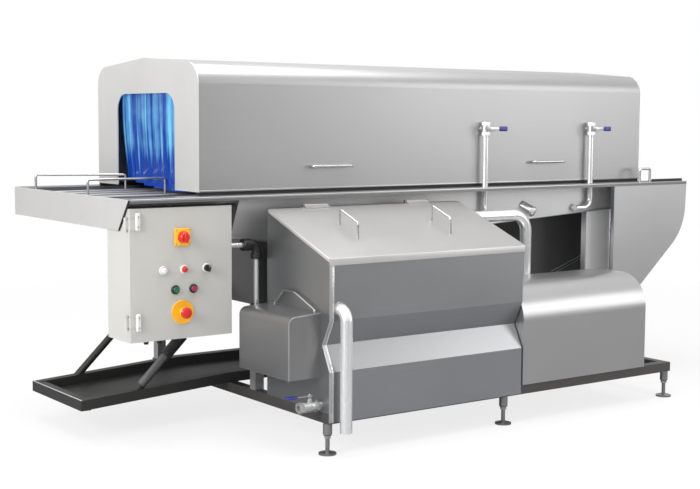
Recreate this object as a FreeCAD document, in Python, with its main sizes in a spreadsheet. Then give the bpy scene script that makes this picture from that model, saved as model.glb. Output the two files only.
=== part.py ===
"""Bin tunnel washer: a hooded wash tunnel over a sloping trough, with a filter tank, a pump and a cabinet.

X runs along the machine from the infeed to the outfeed, Y from the operator's side to the back, Z up.
In the sheet, places across the machine count from the hood's middle and heights from the floor. The
part's origin is on the floor, under the middle of the whole machine.
"""
import FreeCAD, Part
import math
import os
import Sketcher

os.makedirs("parts", exist_ok=True)
doc = FreeCAD.newDocument("bin_tunnel_washer")
sheet = doc.addObject("Spreadsheet::Sheet", "Sizes")

# Driving sizes in millimetres and degrees, with what each one measures
SIZES = [
    ("hood_left", -1130, "infeed end of the hood"),
    ("hood_length", 2430, "hood, along the machine"),
    ("hood_width", 864, "hood, across the machine"),
    ("hood_front", -432, "front face of the hood"),
    ("hood_base", 943, "lower edge of the hood above the floor"),
    ("eave_rise", 484, "eave above the hood's lower edge"),
    ("ridge_rise", 34, "ridge above the eaves"),
    ("eave_radius", 78, "bend at the eaves"),
    ("ridge_radius", 320, "bend at the ridge"),
    ("hood_sheet", 3, "hood sheet"),
    ("portal_sheet", 4, "end plates of the hood"),
    ("portal_lip", 2, "end plates stand out past the hood"),
    ("gate_width", 498, "tunnel opening, across"),
    ("gate_height", 377, "tunnel opening above the hood's lower edge"),
    ("gate_radius", 70, "upper corners of the tunnel opening"),
    ("gasket_height", 13, "seat strip between hood and rim"),
    ("gasket_width", 14, "seat strip, across"),
    ("gasket_inset", 2, "seat strip behind the hood's face"),
    ("rim_reach", 104, "rim past the hood's sides"),
    ("rim_width", 124, "rim, across"),
    ("rim_height", 15, "folded edge of the rim"),
    ("pipe_hole", 32, "holes in the rim for the rinse pipes"),
    ("tray_left", -1469, "infeed end of the machine's rim"),
    ("machine_right", 1530, "outfeed end of the machine"),
    ("trough_left", -952, "infeed end of the trough at its rim"),
    ("trough_slope", 45, "lower end of the trough's infeed wall past its rim"),
    ("trough_front", -440, "trough's front wall"),
    ("tray_front", -335, "infeed tray's front wall"),
    ("shelf_sheet", 18, "shelf over the cabinet"),
    ("trough_lean", 0.74, "run of the infeed end plate's front edge for each millimetre down"),
    ("trough_sheet", 3, "trough sheet"),
    ("trough_right", 1106, "outfeed end of the trough"),
    ("infeed_depth", 117, "trough under the rim's top at the infeed"),
    ("outfeed_depth", 126, "trough under the rim's top at the outfeed"),
    ("drain_depth", 219, "trough under the rim's top at its lowest"),
    ("drain_place", -568, "lowest point of the trough"),
    ("plate_sheet", 3, "end plate and outfeed sides"),
    ("outfeed_left", 1026, "left edge of the outfeed sides"),
    ("outfeed_floor", 400, "lower edge of the outfeed sides"),
    ("outfeed_back_floor", 700, "lower edge of the back outfeed side"),
    ("outfeed_bend_place", 1522, "corner of the chute"),
    ("outfeed_bend_height", 699, "corner of the chute above the floor"),
    ("outfeed_foot_place", 1171, "lower end of the chute"),
    ("outfeed_radius", 250, "bend of the chute"),
    ("rail_bore", 10, "guide rail diameter"),
    ("guide_height", 985, "guide rails above the floor"),
    ("guide_front", -125, "front guide rail, across"),
    ("guide_back", 226, "back guide rail at the hood, across"),
    ("guide_bend", 9, "bend of a guide rail"),
    ("guide_end", 27, "end of a guide rail from the end plate"),
    ("guide_set", 18, "guide rail's inner post in front of the second slat's middle"),
    ("guide_turn", 25, "flare of the back guide rail in degrees"),
    ("hoop_left", 1240, "small guide at the outfeed"),
    ("hoop_length", 70, "small guide at the outfeed, along the machine"),
    ("hoop_rise", 62, "small guide above the rim"),
    ("hoop_across", -496, "small guide, across the machine"),
    ("bed_height", 927, "top of the conveyor rods above the floor"),
    ("bed_rod", 12, "conveyor rod diameter"),
    ("bed_spread", 130, "between conveyor rods"),
    ("slat_width", 46, "conveyor slat, along the machine"),
    ("slat_height", 6, "conveyor slat thickness"),
    ("slat_pitch", 350, "between conveyor slats"),
    ("strip_width", 92, "curtain strip, across"),
    ("strip_sheet", 3, "curtain strip thickness"),
    ("strip_step", 82, "between curtain strips"),
    ("strip_drop", 356, "curtain strip length"),
    ("curtain_inset", 34, "curtain behind the hood's end"),
    ("curtain_rod", 12, "curtain rod diameter"),
    ("tank_left", -882, "filter tank's left side"),
    ("tank_width", 946, "filter tank, along the machine"),
    ("tank_front", -950, "filter tank's front face"),
    ("tank_back", -528, "filter tank's back"),
    ("skirt_base", 120, "filter tank's front skirt"),
    ("notch_top", 495, "upper crease of the front"),
    ("notch_heart", 401, "deepest crease of the front"),
    ("notch_foot", 307, "lower crease of the front"),
    ("notch_depth", 47, "depth of the front's fold"),
    ("flange_drop", 13, "flange under the tank's back edge"),
    ("flange_width", 16, "flange inside the tank's back edge"),
    ("tank_sheet", 4, "filter tank sheet"),
    ("lid_sheet", 3, "lid sheet"),
    ("lid_lip", 27, "folded front edge of the lid"),
    ("lid_front_height", 724, "lid's top at its front edge"),
    ("lid_back_height", 878, "lid's top at its back edge"),
    ("lid_back", -542, "lid's back edge"),
    ("lid_side_lip", 14, "folded side edges of the lid"),
    ("lid_gap", 1, "lid above the tank's edge"),
    ("lid_grip_rise", 60, "lid grip above the lid"),
    ("lid_grip_rod", 9, "lid grip diameter"),
    ("lid_grip_run", 119, "lid grip, across the machine"),
    ("lid_grip_back", 159, "lid grip in front of the lid's back edge"),
    ("lid_grip_first", 218, "first lid grip from the tank's side"),
    ("lid_grip_second", 672, "second lid grip from the tank's side"),
    ("lid_knuckle", 13, "lid hinge knuckle diameter"),
    ("pin_bore", 8, "hinge pin diameter"),
    ("pin_gap", 0.1, "hinge pin in its knuckle"),
    ("ear_sheet", 6, "hinge ears"),
    ("knuckle_gap", 1, "between a knuckle and its ears"),
    ("lid_tab", 14, "knuckle's tab on the lid"),
    ("tab_sheet", 4, "hinge tabs"),
    ("hinge_rise", 6, "lid hinge above the lid's top"),
    ("hinge_back", 6, "lid hinge behind the lid's back edge"),
    ("lid_knuckle_length", 110, "lid hinge knuckle"),
    ("lid_hinge_inset", 165, "lid hinges from the tank's sides"),
    ("heater_width", 141, "heater housing, along the machine"),
    ("heater_front", -892, "heater housing's front"),
    ("heater_depth", 338, "heater housing, across the machine"),
    ("heater_base", 281, "heater housing's lower face"),
    ("heater_height", 240, "heater housing height at the tank"),
    ("heater_fall", 9, "heater housing's top falls to its outer side"),
    ("heater_radius", 30, "heater housing's upper bend"),
    ("heater_grip_inset", 15, "heater grip beside the tank"),
    ("heater_grip_front", 17, "heater grip behind its housing's front"),
    ("heater_grip_rise", 58, "heater grip above its housing"),
    ("heater_grip_neck", 6, "upright start of the heater grip"),
    ("heater_grip_slope", 135, "front slope of the heater grip"),
    ("heater_grip_run", 75, "level run of the heater grip"),
    ("heater_grip_fall", 60, "back slope of the heater grip"),
    ("overflow_bore", 45, "overflow pipe diameter"),
    ("overflow_wall", 2, "overflow pipe wall"),
    ("overflow_reach", 43.5, "overflow pipe in front of the tank"),
    ("overflow_bend", 43, "bend of the overflow pipe"),
    ("overflow_place", 44, "overflow pipe from the tank's left side"),
    ("overflow_height", 537, "overflow pipe's outlet above the floor"),
    ("overflow_foot", 88, "overflow pipe's open end above the floor"),
    ("drain_height", 178, "drain valve above the floor"),
    ("drain_back", 58, "drain valve behind the tank's front"),
    ("drain_bore", 44, "drain valve body diameter"),
    ("drain_reach", 96, "drain valve past the tank's side"),
    ("drain_stem", 30, "drain valve lever above the valve"),
    ("lever_length", 112, "valve lever"),
    ("lever_tail", 10, "valve lever past its stem"),
    ("lever_width", 20, "valve lever, across"),
    ("lever_sheet", 5, "valve lever thickness"),
    ("cover_right", 788, "right end of the pump cover"),
    ("cover_gap", 4, "pump cover beside the tank"),
    ("cover_front", -955, "front of the pump cover"),
    ("cover_depth", 420, "pump cover, across"),
    ("cover_top", 559, "pump cover's top above the floor"),
    ("cover_radius", 142, "pump cover's bends"),
    ("pump_pipe_bore", 50, "pump pipe diameter"),
    ("pump_pipe_place", 414, "pump pipe, along the machine"),
    ("pump_pipe_across", -590, "pump pipe, across the machine"),
    ("pump_pipe_height", 812, "pump pipe above the floor"),
    ("pump_pipe_bend", 75, "bend of the pump pipe"),
    ("rinse_bore", 26, "rinse pipe diameter"),
    ("rinse_stand", 28, "rinse pipe's centre from the hood"),
    ("rinse_top", 1208, "rinse pipe's top above the floor"),
    ("rinse_bend", 40, "bend of a rinse pipe"),
    ("rinse_left", 288, "left rinse pipe"),
    ("rinse_left_foot", 780, "lower end of the left rinse pipe"),
    ("rinse_right", 940, "right rinse pipe"),
    ("rinse_right_foot", 818, "lower bend of the right rinse pipe"),
    ("rinse_right_run", 92, "lower run of the right rinse pipe"),
    ("valve_drop", 25, "rinse valve levers under the pipes' tops"),
    ("valve_bore", 36, "rinse valve body diameter"),
    ("valve_length", 56, "rinse valve body"),
    ("stem_bore", 14, "valve stem diameter"),
    ("stem_gap", 5, "lever in front of its valve"),
    ("grip_rod", 12, "hood grip diameter"),
    ("grip_length", 190, "hood grip"),
    ("grip_stand", 30, "hood grip from the hood"),
    ("grip_height", 1034, "hood grips above the floor"),
    ("grip_left", -618, "left hood grip"),
    ("grip_right", 585, "right hood grip"),
    ("cabinet_left", -1463, "cabinet's left side"),
    ("cabinet_width", 424, "cabinet, along the machine"),
    ("cabinet_front", -507.5, "cabinet body's front edge"),
    ("cabinet_depth", 165, "cabinet body, across the machine"),
    ("cabinet_sheet", 3, "cabinet sheet"),
    ("door_depth", 17, "cabinet door"),
    ("door_gap", 0.5, "door in front of the cabinet's edge"),
    ("hinge_length", 36, "door hinge"),
    ("hinge_stand", 8, "door hinge beside the cabinet"),
    ("hinge_top_drop", 57, "upper door hinge under the cabinet's top"),
    ("hinge_foot_rise", 74, "lower door hinge above the cabinet's foot"),
    ("hinge_knuckle", 13, "door hinge knuckle diameter"),
    ("hinge_leaf", 41, "door hinge leaf"),
    ("leaf_sheet", 3, "door hinge leaf thickness"),
    ("switch_plate", 66, "main switch plate"),
    ("control_middle", 212, "main switch from the cabinet's left side"),
    ("switch_drop", 110, "main switch under the cabinet's top"),
    ("knob_bore", 42, "main switch knob diameter"),
    ("knob_depth", 24, "main switch knob"),
    ("plate_depth", 8, "plates on the door"),
    ("stop_plate", 90, "emergency stop plate diameter"),
    ("stop_neck", 24, "emergency stop neck diameter"),
    ("stop_head", 42, "emergency stop head diameter"),
    ("stop_travel", 6, "emergency stop travel"),
    ("stop_disc", 4, "emergency stop plate"),
    ("stop_collar", 34, "emergency stop collar diameter"),
    ("stop_collar_height", 14, "emergency stop collar"),
    ("stop_head_height", 18, "emergency stop head"),
    ("slide_gap", 0.05, "round a button in its bezel"),
    ("row_drop", 120, "upper button row under the main switch"),
    ("row_step", 74, "lower button row under the upper one"),
    ("stop_drop", 85, "emergency stop under the lower button row"),
    ("stop_margin", 99, "cabinet's foot under the emergency stop"),
    ("button_bezel", 34, "button bezel diameter"),
    ("bezel_height", 8, "button bezel"),
    ("cap_bore", 22, "button diameter"),
    ("cap_rise", 6, "button past its bezel"),
    ("lamp_rise", 6, "lamp past its bezel"),
    ("lamp_white", 133, "white lamp from the cabinet's left side"),
    ("lamp_red", 220, "red lamp from the cabinet's left side"),
    ("selector_place", 313, "selector from the cabinet's left side"),
    ("start_place", 182, "start button from the cabinet's left side"),
    ("halt_place", 257, "stop button from the cabinet's left side"),
    ("selector_bore", 26, "selector knob diameter"),
    ("selector_rise", 16, "selector knob"),
    ("grip_bar", 9, "raised bar of a turning knob"),
    ("button_travel", 4, "button travel"),
    ("frame_rail", 40, "base frame tube"),
    ("frame_base", 115, "base frame above the floor"),
    ("frame_left", -882, "left side of the base frame"),
    ("frame_right", 970, "right side of the base frame"),
    ("frame_front", -945, "front of the base frame"),
    ("frame_back", 432, "back of the base frame"),
    ("frame_middle", -28, "middle cross rail's left side"),
    ("wing_left", -1530, "left end of the infeed extension"),
    ("wing_front", -240, "front of the infeed extension"),
    ("wing_width", 470, "infeed extension, across"),
    ("pan_sheet", 3, "pan in the infeed extension"),
    ("foot_boss", 34, "foot boss diameter"),
    ("foot_boss_height", 40, "foot boss"),
    ("foot_spindle", 16, "foot spindle diameter"),
    ("foot_disc", 66, "foot disc diameter"),
    ("foot_disc_height", 14, "foot disc"),
    ("foot_left", -872, "left feet"),
    ("foot_middle", -8, "middle feet"),
    ("foot_right", 953, "right feet"),
    ("foot_row", 20, "feet from the rails' outer faces"),
    ("strut_bore", 30, "strut diameter"),
    ("strut_foot", -1300, "lower end of the front strut"),
    ("strut_stagger", 50, "back strut's foot, further to the infeed"),
    ("strut_lean", 46, "struts from upright, in degrees"),
    ("post_left", 950, "outfeed post's left edge"),
    ("post_width", 155, "outfeed post, along the machine"),
    ("post_depth", 6, "outfeed posts, thickness"),
    ("post_set", 5, "front outfeed post behind the trough's wall"),
    ("sump_right", 60, "sump's right side"),
    ("sump_back", 420, "sump's back"),
    ("sump_base", 495, "sump's floor above the floor"),
    ("drive_left", 745, "drive housing's left side"),
    ("drive_front", -250, "drive housing's front"),
    ("drive_depth", 300, "drive housing, across"),
    ("drive_base", 420, "drive housing's lower face"),
    ("feed_bore", 20, "supply pipe diameter"),
    ("feed_height", 740, "supply pipe above the floor"),
    ("feed_place", -908, "supply pipe's upright, along the machine"),
    ("feed_across", -490, "supply pipe, across the machine"),
    ("feed_bend", 26, "bend of the supply pipe"),
    ("feed_outlet", 470, "supply pipe's elbow above the floor"),
    ("feed_elbow", 30, "elbow of the supply pipe behind the heater"),
    ("gland_bore", 24, "cable gland diameter"),
    ("gland_length", 26, "cable glands"),
    ("gland_place", 109, "first cable gland from the cabinet's left side"),
    ("gland_step", 54, "between cable glands"),
    ("gland_inset", 75, "cable glands behind the cabinet's front edge"),
    ("hose_bore", 44, "large gland diameter"),
    ("hose_place", 234, "large gland from the cabinet's left side"),
    ("fit_gap", 0.3, "between curved faces that meet"),
]


class Size:
    """A number with the text that binds a property to the sheet."""

    def __init__(self, number, text):
        self.number = number
        self.text = text

    def joined(self, sign, number, other):
        return Size(number, f"({self.text} {sign} {other.text})")

    def __add__(self, other):
        other = as_size(other)
        return self.joined("+", self.number + other.number, other)

    def __sub__(self, other):
        other = as_size(other)
        return self.joined("-", self.number - other.number, other)

    def __mul__(self, other):
        other = as_size(other)
        return self.joined("*", self.number * other.number, other)

    def __truediv__(self, other):
        other = as_size(other)
        return self.joined("/", self.number / other.number, other)

    def __radd__(self, other):
        return as_size(other) + self

    def __rsub__(self, other):
        return as_size(other) - self

    def __rmul__(self, other):
        return as_size(other) * self

    def __neg__(self):
        return as_size(0) - self


def as_size(value):
    return value if isinstance(value, Size) else Size(value, repr(value))


def fill_sheet():
    for row, (alias, number, note) in enumerate(SIZES, start=1):
        sheet.set(f"A{row}", str(number))
        sheet.setAlias(f"A{row}", alias)
        sheet.set(f"B{row}", note)
    doc.recompute()


class Sheet:
    """The sheet's sizes as attributes, such as size.hood_width."""

    def __init__(self):
        for alias, number, _ in SIZES:
            setattr(self, alias, Size(number, f"Sizes.{alias}"))


fill_sheet()
size = Sheet()
ZERO = Size(0, "0")
nodes = []

# Middle of the machine's length and depth, from the faces that stand out furthest
middle_along = (size.wing_left + size.machine_right) / 2
back_face = size.hood_front + size.hood_width + size.rim_reach
front_face = size.tank_front - size.overflow_reach - size.overflow_bore / 2
middle_across = (back_face + front_face) / 2


def cosine(angle):
    return Size(math.cos(math.radians(angle.number)), f"cos({angle.text} * 1 deg)")


def tangent(angle):
    return Size(math.tan(math.radians(angle.number)), f"tan({angle.text} * 1 deg)")


def bind(item, prop, value):
    """Set a property and tie it to the sheet."""
    value = as_size(value)
    if value.text != repr(value.number):
        item.setExpression(prop, value.text)
        return
    if prop.startswith("Placement.Base."):
        item.setExpression(prop, value.text)
        return
    setattr(item, prop, value.number)


def place(item, at):
    """Set a piece down, with the origin moved under the middle of the whole machine."""
    for axis, value, middle in zip("xyz", at, (middle_along, middle_across, ZERO)):
        value = as_size(value)
        item.setExpression(f"Placement.Base.{axis}", f"{value.text} - {middle.text}")


def turn_about(item, angle):
    """Turn a placed piece about the vertical through its origin, clockwise seen from above."""
    item.Placement = FreeCAD.Placement(
        item.Placement.Base, FreeCAD.Rotation(FreeCAD.Vector(0, 0, -1), angle.number)
    )
    item.setExpression("Placement.Rotation.Angle", f"{angle.text} * 1 deg")


def node(item, label):
    """Give a sub-part its name."""
    item.Label = label
    nodes.append(item)
    return item


# Solids from primitives
def box(at, along, across, up):
    item = doc.addObject("Part::Box", "Block")
    bind(item, "Length", along)
    bind(item, "Width", across)
    bind(item, "Height", up)
    place(item, at)
    return item


TURNS = {
    "X": FreeCAD.Rotation(FreeCAD.Vector(0, 1, 0), 90),
    "Y": FreeCAD.Rotation(FreeCAD.Vector(1, 0, 0), -90),
    "Z": FreeCAD.Rotation(),
}


def rod(at, axis, length, bore):
    """A round bar that starts at a point and runs along +X, +Y or +Z."""
    item = doc.addObject("Part::Cylinder", "Rod")
    bind(item, "Radius", bore / 2)
    bind(item, "Height", length)
    item.Placement = FreeCAD.Placement(FreeCAD.Vector(), TURNS[axis])
    place(item, at)
    return item


def fuse(items):
    item = doc.addObject("Part::MultiFuse", "Joined")
    item.Shapes = items
    return item


def group(items):
    """Like pieces that share a node as separate solids."""
    item = doc.addObject("Part::Compound", "Set")
    item.Links = items
    return item


def cut(base, tool):
    item = doc.addObject("Part::Cut", "Trimmed")
    item.Base = base
    item.Tool = tool
    return item


def common(first, second):
    item = doc.addObject("Part::MultiCommon", "Shared")
    item.Shapes = [first, second]
    return item


# Sketched solids
def origin_plane(body, role):
    return [plane for plane in body.Origin.OriginFeatures if plane.Role == role][0]


def new_sketch(body, role, name):
    sketch = body.newObject("Sketcher::SketchObject", name)
    sketch.AttachmentSupport = [(origin_plane(body, role), "")]
    sketch.MapMode = "FlatFace"
    return sketch


def hold(sketch, kind, geometry, end, value):
    """Tie one coordinate of a point to the sheet."""
    value = as_size(value)
    if value.text == "0":
        axis = -2 if kind == "DistanceX" else -1
        sketch.addConstraint(Sketcher.Constraint("PointOnObject", geometry, end, axis))
        return
    index = sketch.addConstraint(Sketcher.Constraint(kind, -1, 1, geometry, end, value.number))
    sketch.setExpression(f"Constraints[{index}]", value.text)


def corner_arc(before, corner, after, radius):
    """The two tangent points of a rounded corner, and its arc."""
    back = (before - corner).normalize()
    ahead = (after - corner).normalize()
    half = back.getAngle(ahead) / 2
    reach = radius / math.tan(half)
    start = corner + back * reach
    end = corner + ahead * reach
    centre = corner + (back + ahead).normalize() * (radius / math.sin(half))
    turn = back.cross(ahead).z
    first, last = (start, end) if turn < 0 else (end, start)
    angles = [math.atan2(point.y - centre.y, point.x - centre.x) for point in (first, last)]
    if angles[1] < angles[0]:
        angles[1] += 2 * math.pi
    circle = Part.Circle(centre, FreeCAD.Vector(0, 0, 1), radius)
    return start, end, Part.ArcOfCircle(circle, angles[0], angles[1]), (1 if turn < 0 else 2)


def draw(sketch, points, closed=True):
    """Draw straight runs through (x, y) or (x, y, radius) points, rounded where a radius is given."""
    points = [(*point, None)[:3] for point in points]
    count = len(points)
    spots = [FreeCAD.Vector(as_size(x).number, as_size(y).number, 0) for x, y, _ in points]
    rounds = {}
    for index, (_, _, radius) in enumerate(points):
        if radius is not None:
            before, after = spots[index - 1], spots[(index + 1) % count]
            rounds[index] = corner_arc(before, spots[index], after, as_size(radius).number)
    runs = []
    for index in range(count if closed else count - 1):
        ahead = (index + 1) % count
        start = rounds[index][1] if index in rounds else spots[index]
        end = rounds[ahead][0] if ahead in rounds else spots[ahead]
        runs.append(sketch.addGeometry(Part.LineSegment(start, end)))
    for index, (x, y, radius) in enumerate(points):
        first = index == 0 and not closed
        last = index == count - 1 and not closed
        before, after = runs[index - 1], runs[index % len(runs)]
        if index in rounds:
            arc = sketch.addGeometry(rounds[index][2])
            start_end = rounds[index][3]
            sketch.addConstraint(Sketcher.Constraint("Tangent", before, 2, arc, start_end))
            sketch.addConstraint(Sketcher.Constraint("Tangent", after, 1, arc, 3 - start_end))
            bend = sketch.addConstraint(Sketcher.Constraint("Radius", arc, as_size(radius).number))
            sketch.setExpression(f"Constraints[{bend}]", as_size(radius).text)
            corner = sketch.addGeometry(Part.Point(spots[index]), True)
            for run in (before, after):
                sketch.addConstraint(Sketcher.Constraint("PointOnObject", corner, 1, run))
            spot = (corner, 1)
        elif last:
            spot = (before, 2)
        else:
            spot = (after, 1)
            if not first:
                sketch.addConstraint(Sketcher.Constraint("Coincident", before, 2, after, 1))
        hold(sketch, "DistanceX", *spot, x)
        hold(sketch, "DistanceY", *spot, y)


def profile(role, outlines, depth, at):
    """A sheet or block: closed outlines on a plane, padded along that plane's positive axis."""
    body = doc.addObject("PartDesign::Body", "Profile")
    sketch = new_sketch(body, role, "Outline")
    for outline in outlines:
        draw(sketch, outline)
    pad = body.newObject("PartDesign::Pad", "Pad")
    pad.Profile = sketch
    pad.Reversed = role == "XZ_Plane"
    bind(pad, "Length", depth)
    place(body, at)
    return body


def pipe(path_role, ring_role, route, bore, at, wall=None):
    """A round bar or pipe along straight runs and bends, from its own origin."""
    body = doc.addObject("PartDesign::Body", "Pipe")
    ring = new_sketch(body, ring_role, "Ring")
    radii = [bore / 2] if wall is None else [bore / 2, bore / 2 - wall]
    for radius in radii:
        circle = sketch_circle(ring, radius)
        ring.addConstraint(Sketcher.Constraint("Coincident", circle, 3, -1, 1))
    path = new_sketch(body, path_role, "Route")
    draw(path, route, closed=False)
    sweep = body.newObject("PartDesign::AdditivePipe", "Sweep")
    sweep.Profile = ring
    sweep.Spine = (path, [])
    place(body, at)
    return body


def sketch_circle(sketch, radius):
    circle = sketch.addGeometry(Part.Circle(FreeCAD.Vector(), FreeCAD.Vector(0, 0, 1), radius.number))
    index = sketch.addConstraint(Sketcher.Constraint("Radius", circle, radius.number))
    sketch.setExpression(f"Constraints[{index}]", radius.text)
    return circle


def turned(outline, at):
    """A turned piece: an outline of (radius, height) points spun about the vertical."""
    body = doc.addObject("PartDesign::Body", "Turned")
    sketch = new_sketch(body, "XZ_Plane", "Outline")
    draw(sketch, outline)
    spin = body.newObject("PartDesign::Revolution", "Spin")
    spin.Profile = sketch
    spin.ReferenceAxis = (sketch, ["V_Axis"])
    spin.Angle = 360
    place(body, at)
    return body


# Places that several pieces share
hood_right = size.hood_left + size.hood_length
hood_back = size.hood_front + size.hood_width
hood_middle = size.hood_front + size.hood_width / 2
rim_top = size.hood_base - size.gasket_height
rim_base = rim_top - size.rim_height
rim_front = size.hood_front - size.rim_reach
rim_back = hood_back + size.rim_reach
trough_back = rim_back - size.plate_sheet
tray_inner = size.tray_left + size.plate_sheet
gate_front = hood_middle - size.gate_width / 2
gate_back = hood_middle + size.gate_width / 2
tank_right = size.tank_left + size.tank_width
frame_top = size.frame_base + size.frame_rail
door_back = size.cabinet_front - size.door_gap
door_front = door_back - size.door_depth
control_place = size.cabinet_left + size.control_middle
cabinet_top = rim_base - size.shelf_sheet
switch_height = cabinet_top - size.switch_drop
button_row = switch_height - size.row_drop
button_row_low = button_row - size.row_step
stop_height = button_row_low - size.stop_drop
cabinet_base = stop_height - size.stop_margin
cabinet_height = cabinet_top - cabinet_base
slat_first = tray_inner + size.guide_end
rinse_across = size.hood_front - size.rinse_stand
valve_height = size.rinse_top - size.valve_drop
lever_stand = size.valve_bore / 2 + size.stem_gap
tank_depth = size.tank_back - size.tank_front
lid_front = size.tank_front - size.lid_gap - size.lid_sheet
lid_slope = (size.lid_back_height - size.lid_front_height) / (size.lid_back - lid_front)
hinge_across = size.lid_back + size.hinge_back
hinge_height = size.lid_back_height + size.hinge_rise


# Hood over the tunnel
def hood_outline(out):
    """The hood's outer outline, moved outward by a lip or inward by a sheet."""
    return [
        (-out, ZERO),
        (-out, size.eave_rise + out, size.eave_radius + out),
        (size.hood_width / 2, size.eave_rise + size.ridge_rise + out, size.ridge_radius + out),
        (size.hood_width + out, size.eave_rise + out, size.eave_radius + out),
        (size.hood_width + out, ZERO),
    ]


def make_hood():
    outer = hood_outline(ZERO)
    inner = hood_outline(-size.hood_sheet)
    shell = profile(
        "YZ_Plane", [outer + inner[::-1]], size.hood_length - 2 * size.portal_sheet,
        (size.hood_left + size.portal_sheet, size.hood_front, size.hood_base),
    )
    node(shell, "hood_shell")
    edge = (size.hood_width - size.gate_width) / 2
    gate = [
        (edge, ZERO),
        (edge, size.gate_height, size.gate_radius),
        (edge + size.gate_width, size.gate_height, size.gate_radius),
        (edge + size.gate_width, ZERO),
    ]
    outline = hood_outline(size.portal_lip)
    for label, left in (
        ("portal_infeed", size.hood_left),
        ("portal_outfeed", hood_right - size.portal_sheet),
    ):
        portal = profile(
            "YZ_Plane", [outline + gate[::-1]], size.portal_sheet,
            (left, size.hood_front, size.hood_base),
        )
        node(portal, label)


def make_gasket():
    """Dark seat strips under the hood's two long sides."""
    strips = [
        box((size.hood_left, across, rim_top), size.hood_length, size.gasket_width, size.gasket_height)
        for across in (size.hood_front + size.gasket_inset, hood_back - size.gasket_width - size.gasket_inset)
    ]
    node(group(strips), "hood_seat")


def make_hood_grips():
    grips = []
    for left in (size.grip_left, size.grip_right):
        route = [
            (ZERO, ZERO),
            (ZERO, -size.grip_stand, size.grip_rod),
            (size.grip_length, -size.grip_stand, size.grip_rod),
            (size.grip_length, ZERO),
        ]
        at = (left, size.hood_front, size.grip_height)
        grips.append(pipe("XY_Plane", "XZ_Plane", route, size.grip_rod, at))
    node(group(grips), "hood_grips")


# Trough under the tunnel
def make_shell(left, front, floor):
    """An open shell between the machine's back and a front wall, with a floor through (x, depth) points."""
    across = trough_back - front
    shells = []
    for wall in (ZERO, size.trough_sheet):
        points = [(reach, size.rim_height - depth + wall) for reach, depth in floor]
        points[0] = (floor[0][0] + wall, points[0][1])
        points[-1] = (floor[-1][0] - wall, points[-1][1])
        ends = [(floor[0][0] + wall, ZERO), (floor[-1][0] - wall, ZERO)]
        if floor is trough_floor:
            ends[0] = (wall, ZERO)
        shells.append(profile(
            "XZ_Plane", [[ends[0]] + points + [ends[1]]], across - 2 * wall,
            (left, front + wall, rim_base),
        ))
    return shells


def trough_depth_at(place_x):
    """Depth of the trough's floor under the rim's top, between the infeed and the drain."""
    share = (place_x - tray_inner) / (size.drain_place - tray_inner)
    return size.infeed_depth + (size.drain_depth - size.infeed_depth) * share


trough_floor = [
    (-size.trough_slope, trough_depth_at(size.trough_left - size.trough_slope)),
    (size.drain_place - size.trough_left, size.drain_depth),
    (size.trough_right - size.trough_left, size.outfeed_depth),
]


def trim_under_trough(item):
    """Cut a piece off where it meets the trough."""
    return cut(item, make_shell(size.trough_left, size.trough_front, trough_floor)[0])


def make_trough():
    outer, inner = make_shell(size.trough_left, size.trough_front, trough_floor)
    node(cut(outer, inner), "trough")
    length = size.trough_left - tray_inner
    floor = [(ZERO, size.infeed_depth), (length, trough_depth_at(size.trough_left))]
    outer, inner = make_shell(tray_inner, size.tray_front, floor)
    front = rim_front + size.rim_width
    shelf = box(
        (tray_inner, front, rim_base - size.shelf_sheet), length,
        size.tray_front + size.trough_sheet - front, size.shelf_sheet,
    )
    node(trim_under_trough(fuse([cut(outer, inner), shelf])), "infeed_tray")


def make_rim():
    """Folded rims along the trough's front and back, with holes for the rinse pipes, and the end plate."""
    run = size.machine_right - tray_inner
    strips = []
    for across in (rim_front, rim_back - size.rim_width):
        strips.append(box((tray_inner, across, rim_base), run, size.rim_width, size.rim_height))
    for middle in (size.rinse_left, size.rinse_right):
        hole = rod((middle, rinse_across, rim_base), "Z", size.rim_height, size.pipe_hole)
        strips[0] = cut(strips[0], hole)
    bar_left = size.hoop_left + size.hoop_length + size.bed_rod
    bar = box(
        (bar_left, size.hoop_across - size.bed_rod, rim_top),
        size.machine_right - bar_left, size.bed_rod, size.bed_rod,
    )
    node(group([strips[0], strips[1]]), "trough_rims")
    node(bar, "outfeed_bar")
    height = size.infeed_depth
    width = rim_back - rim_front
    plate = profile(
        "YZ_Plane",
        [[(ZERO, ZERO), (width, ZERO), (width, -height), (size.trough_lean * height, -height)]],
        size.plate_sheet, (size.tray_left, rim_front, rim_top),
    )
    node(plate, "infeed_end_plate")


def outfeed_points():
    """Lower right edge of the outfeed sides, from the rim down to the foot of the chute."""
    base = size.outfeed_left
    return [
        (size.machine_right - base, rim_base - size.outfeed_floor),
        (size.outfeed_bend_place - base, size.outfeed_bend_height - size.outfeed_floor, size.outfeed_radius),
        (size.outfeed_foot_place - base, ZERO),
    ]


def make_outfeed():
    side = [(ZERO, rim_base - size.outfeed_floor)] + outfeed_points() + [(ZERO, ZERO)]
    plates = [
        profile("XZ_Plane", [side], size.plate_sheet, (size.outfeed_left, across, size.outfeed_floor))
        for across in (rim_front, rim_back - size.plate_sheet)
    ]
    opening = box(
        (size.outfeed_left, rim_back - size.plate_sheet, size.outfeed_floor),
        size.machine_right - size.outfeed_left, size.plate_sheet, size.outfeed_back_floor - size.outfeed_floor,
    )
    node(group([plates[0], cut(plates[1], opening)]), "outfeed_sides")
    outer = outfeed_points()
    wall = size.plate_sheet
    inner = [
        (outer[0][0] - wall, outer[0][1]),
        (outer[1][0] - wall, outer[1][1] + wall / 2, size.outfeed_radius - wall),
        (outer[2][0] - wall * math.sqrt(2), ZERO),
    ]
    chute = profile(
        "XZ_Plane", [outer + inner[::-1]], rim_back - rim_front - 2 * wall,
        (size.outfeed_left, rim_front + wall, size.outfeed_floor),
    )
    node(chute, "outfeed_chute")


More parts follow.
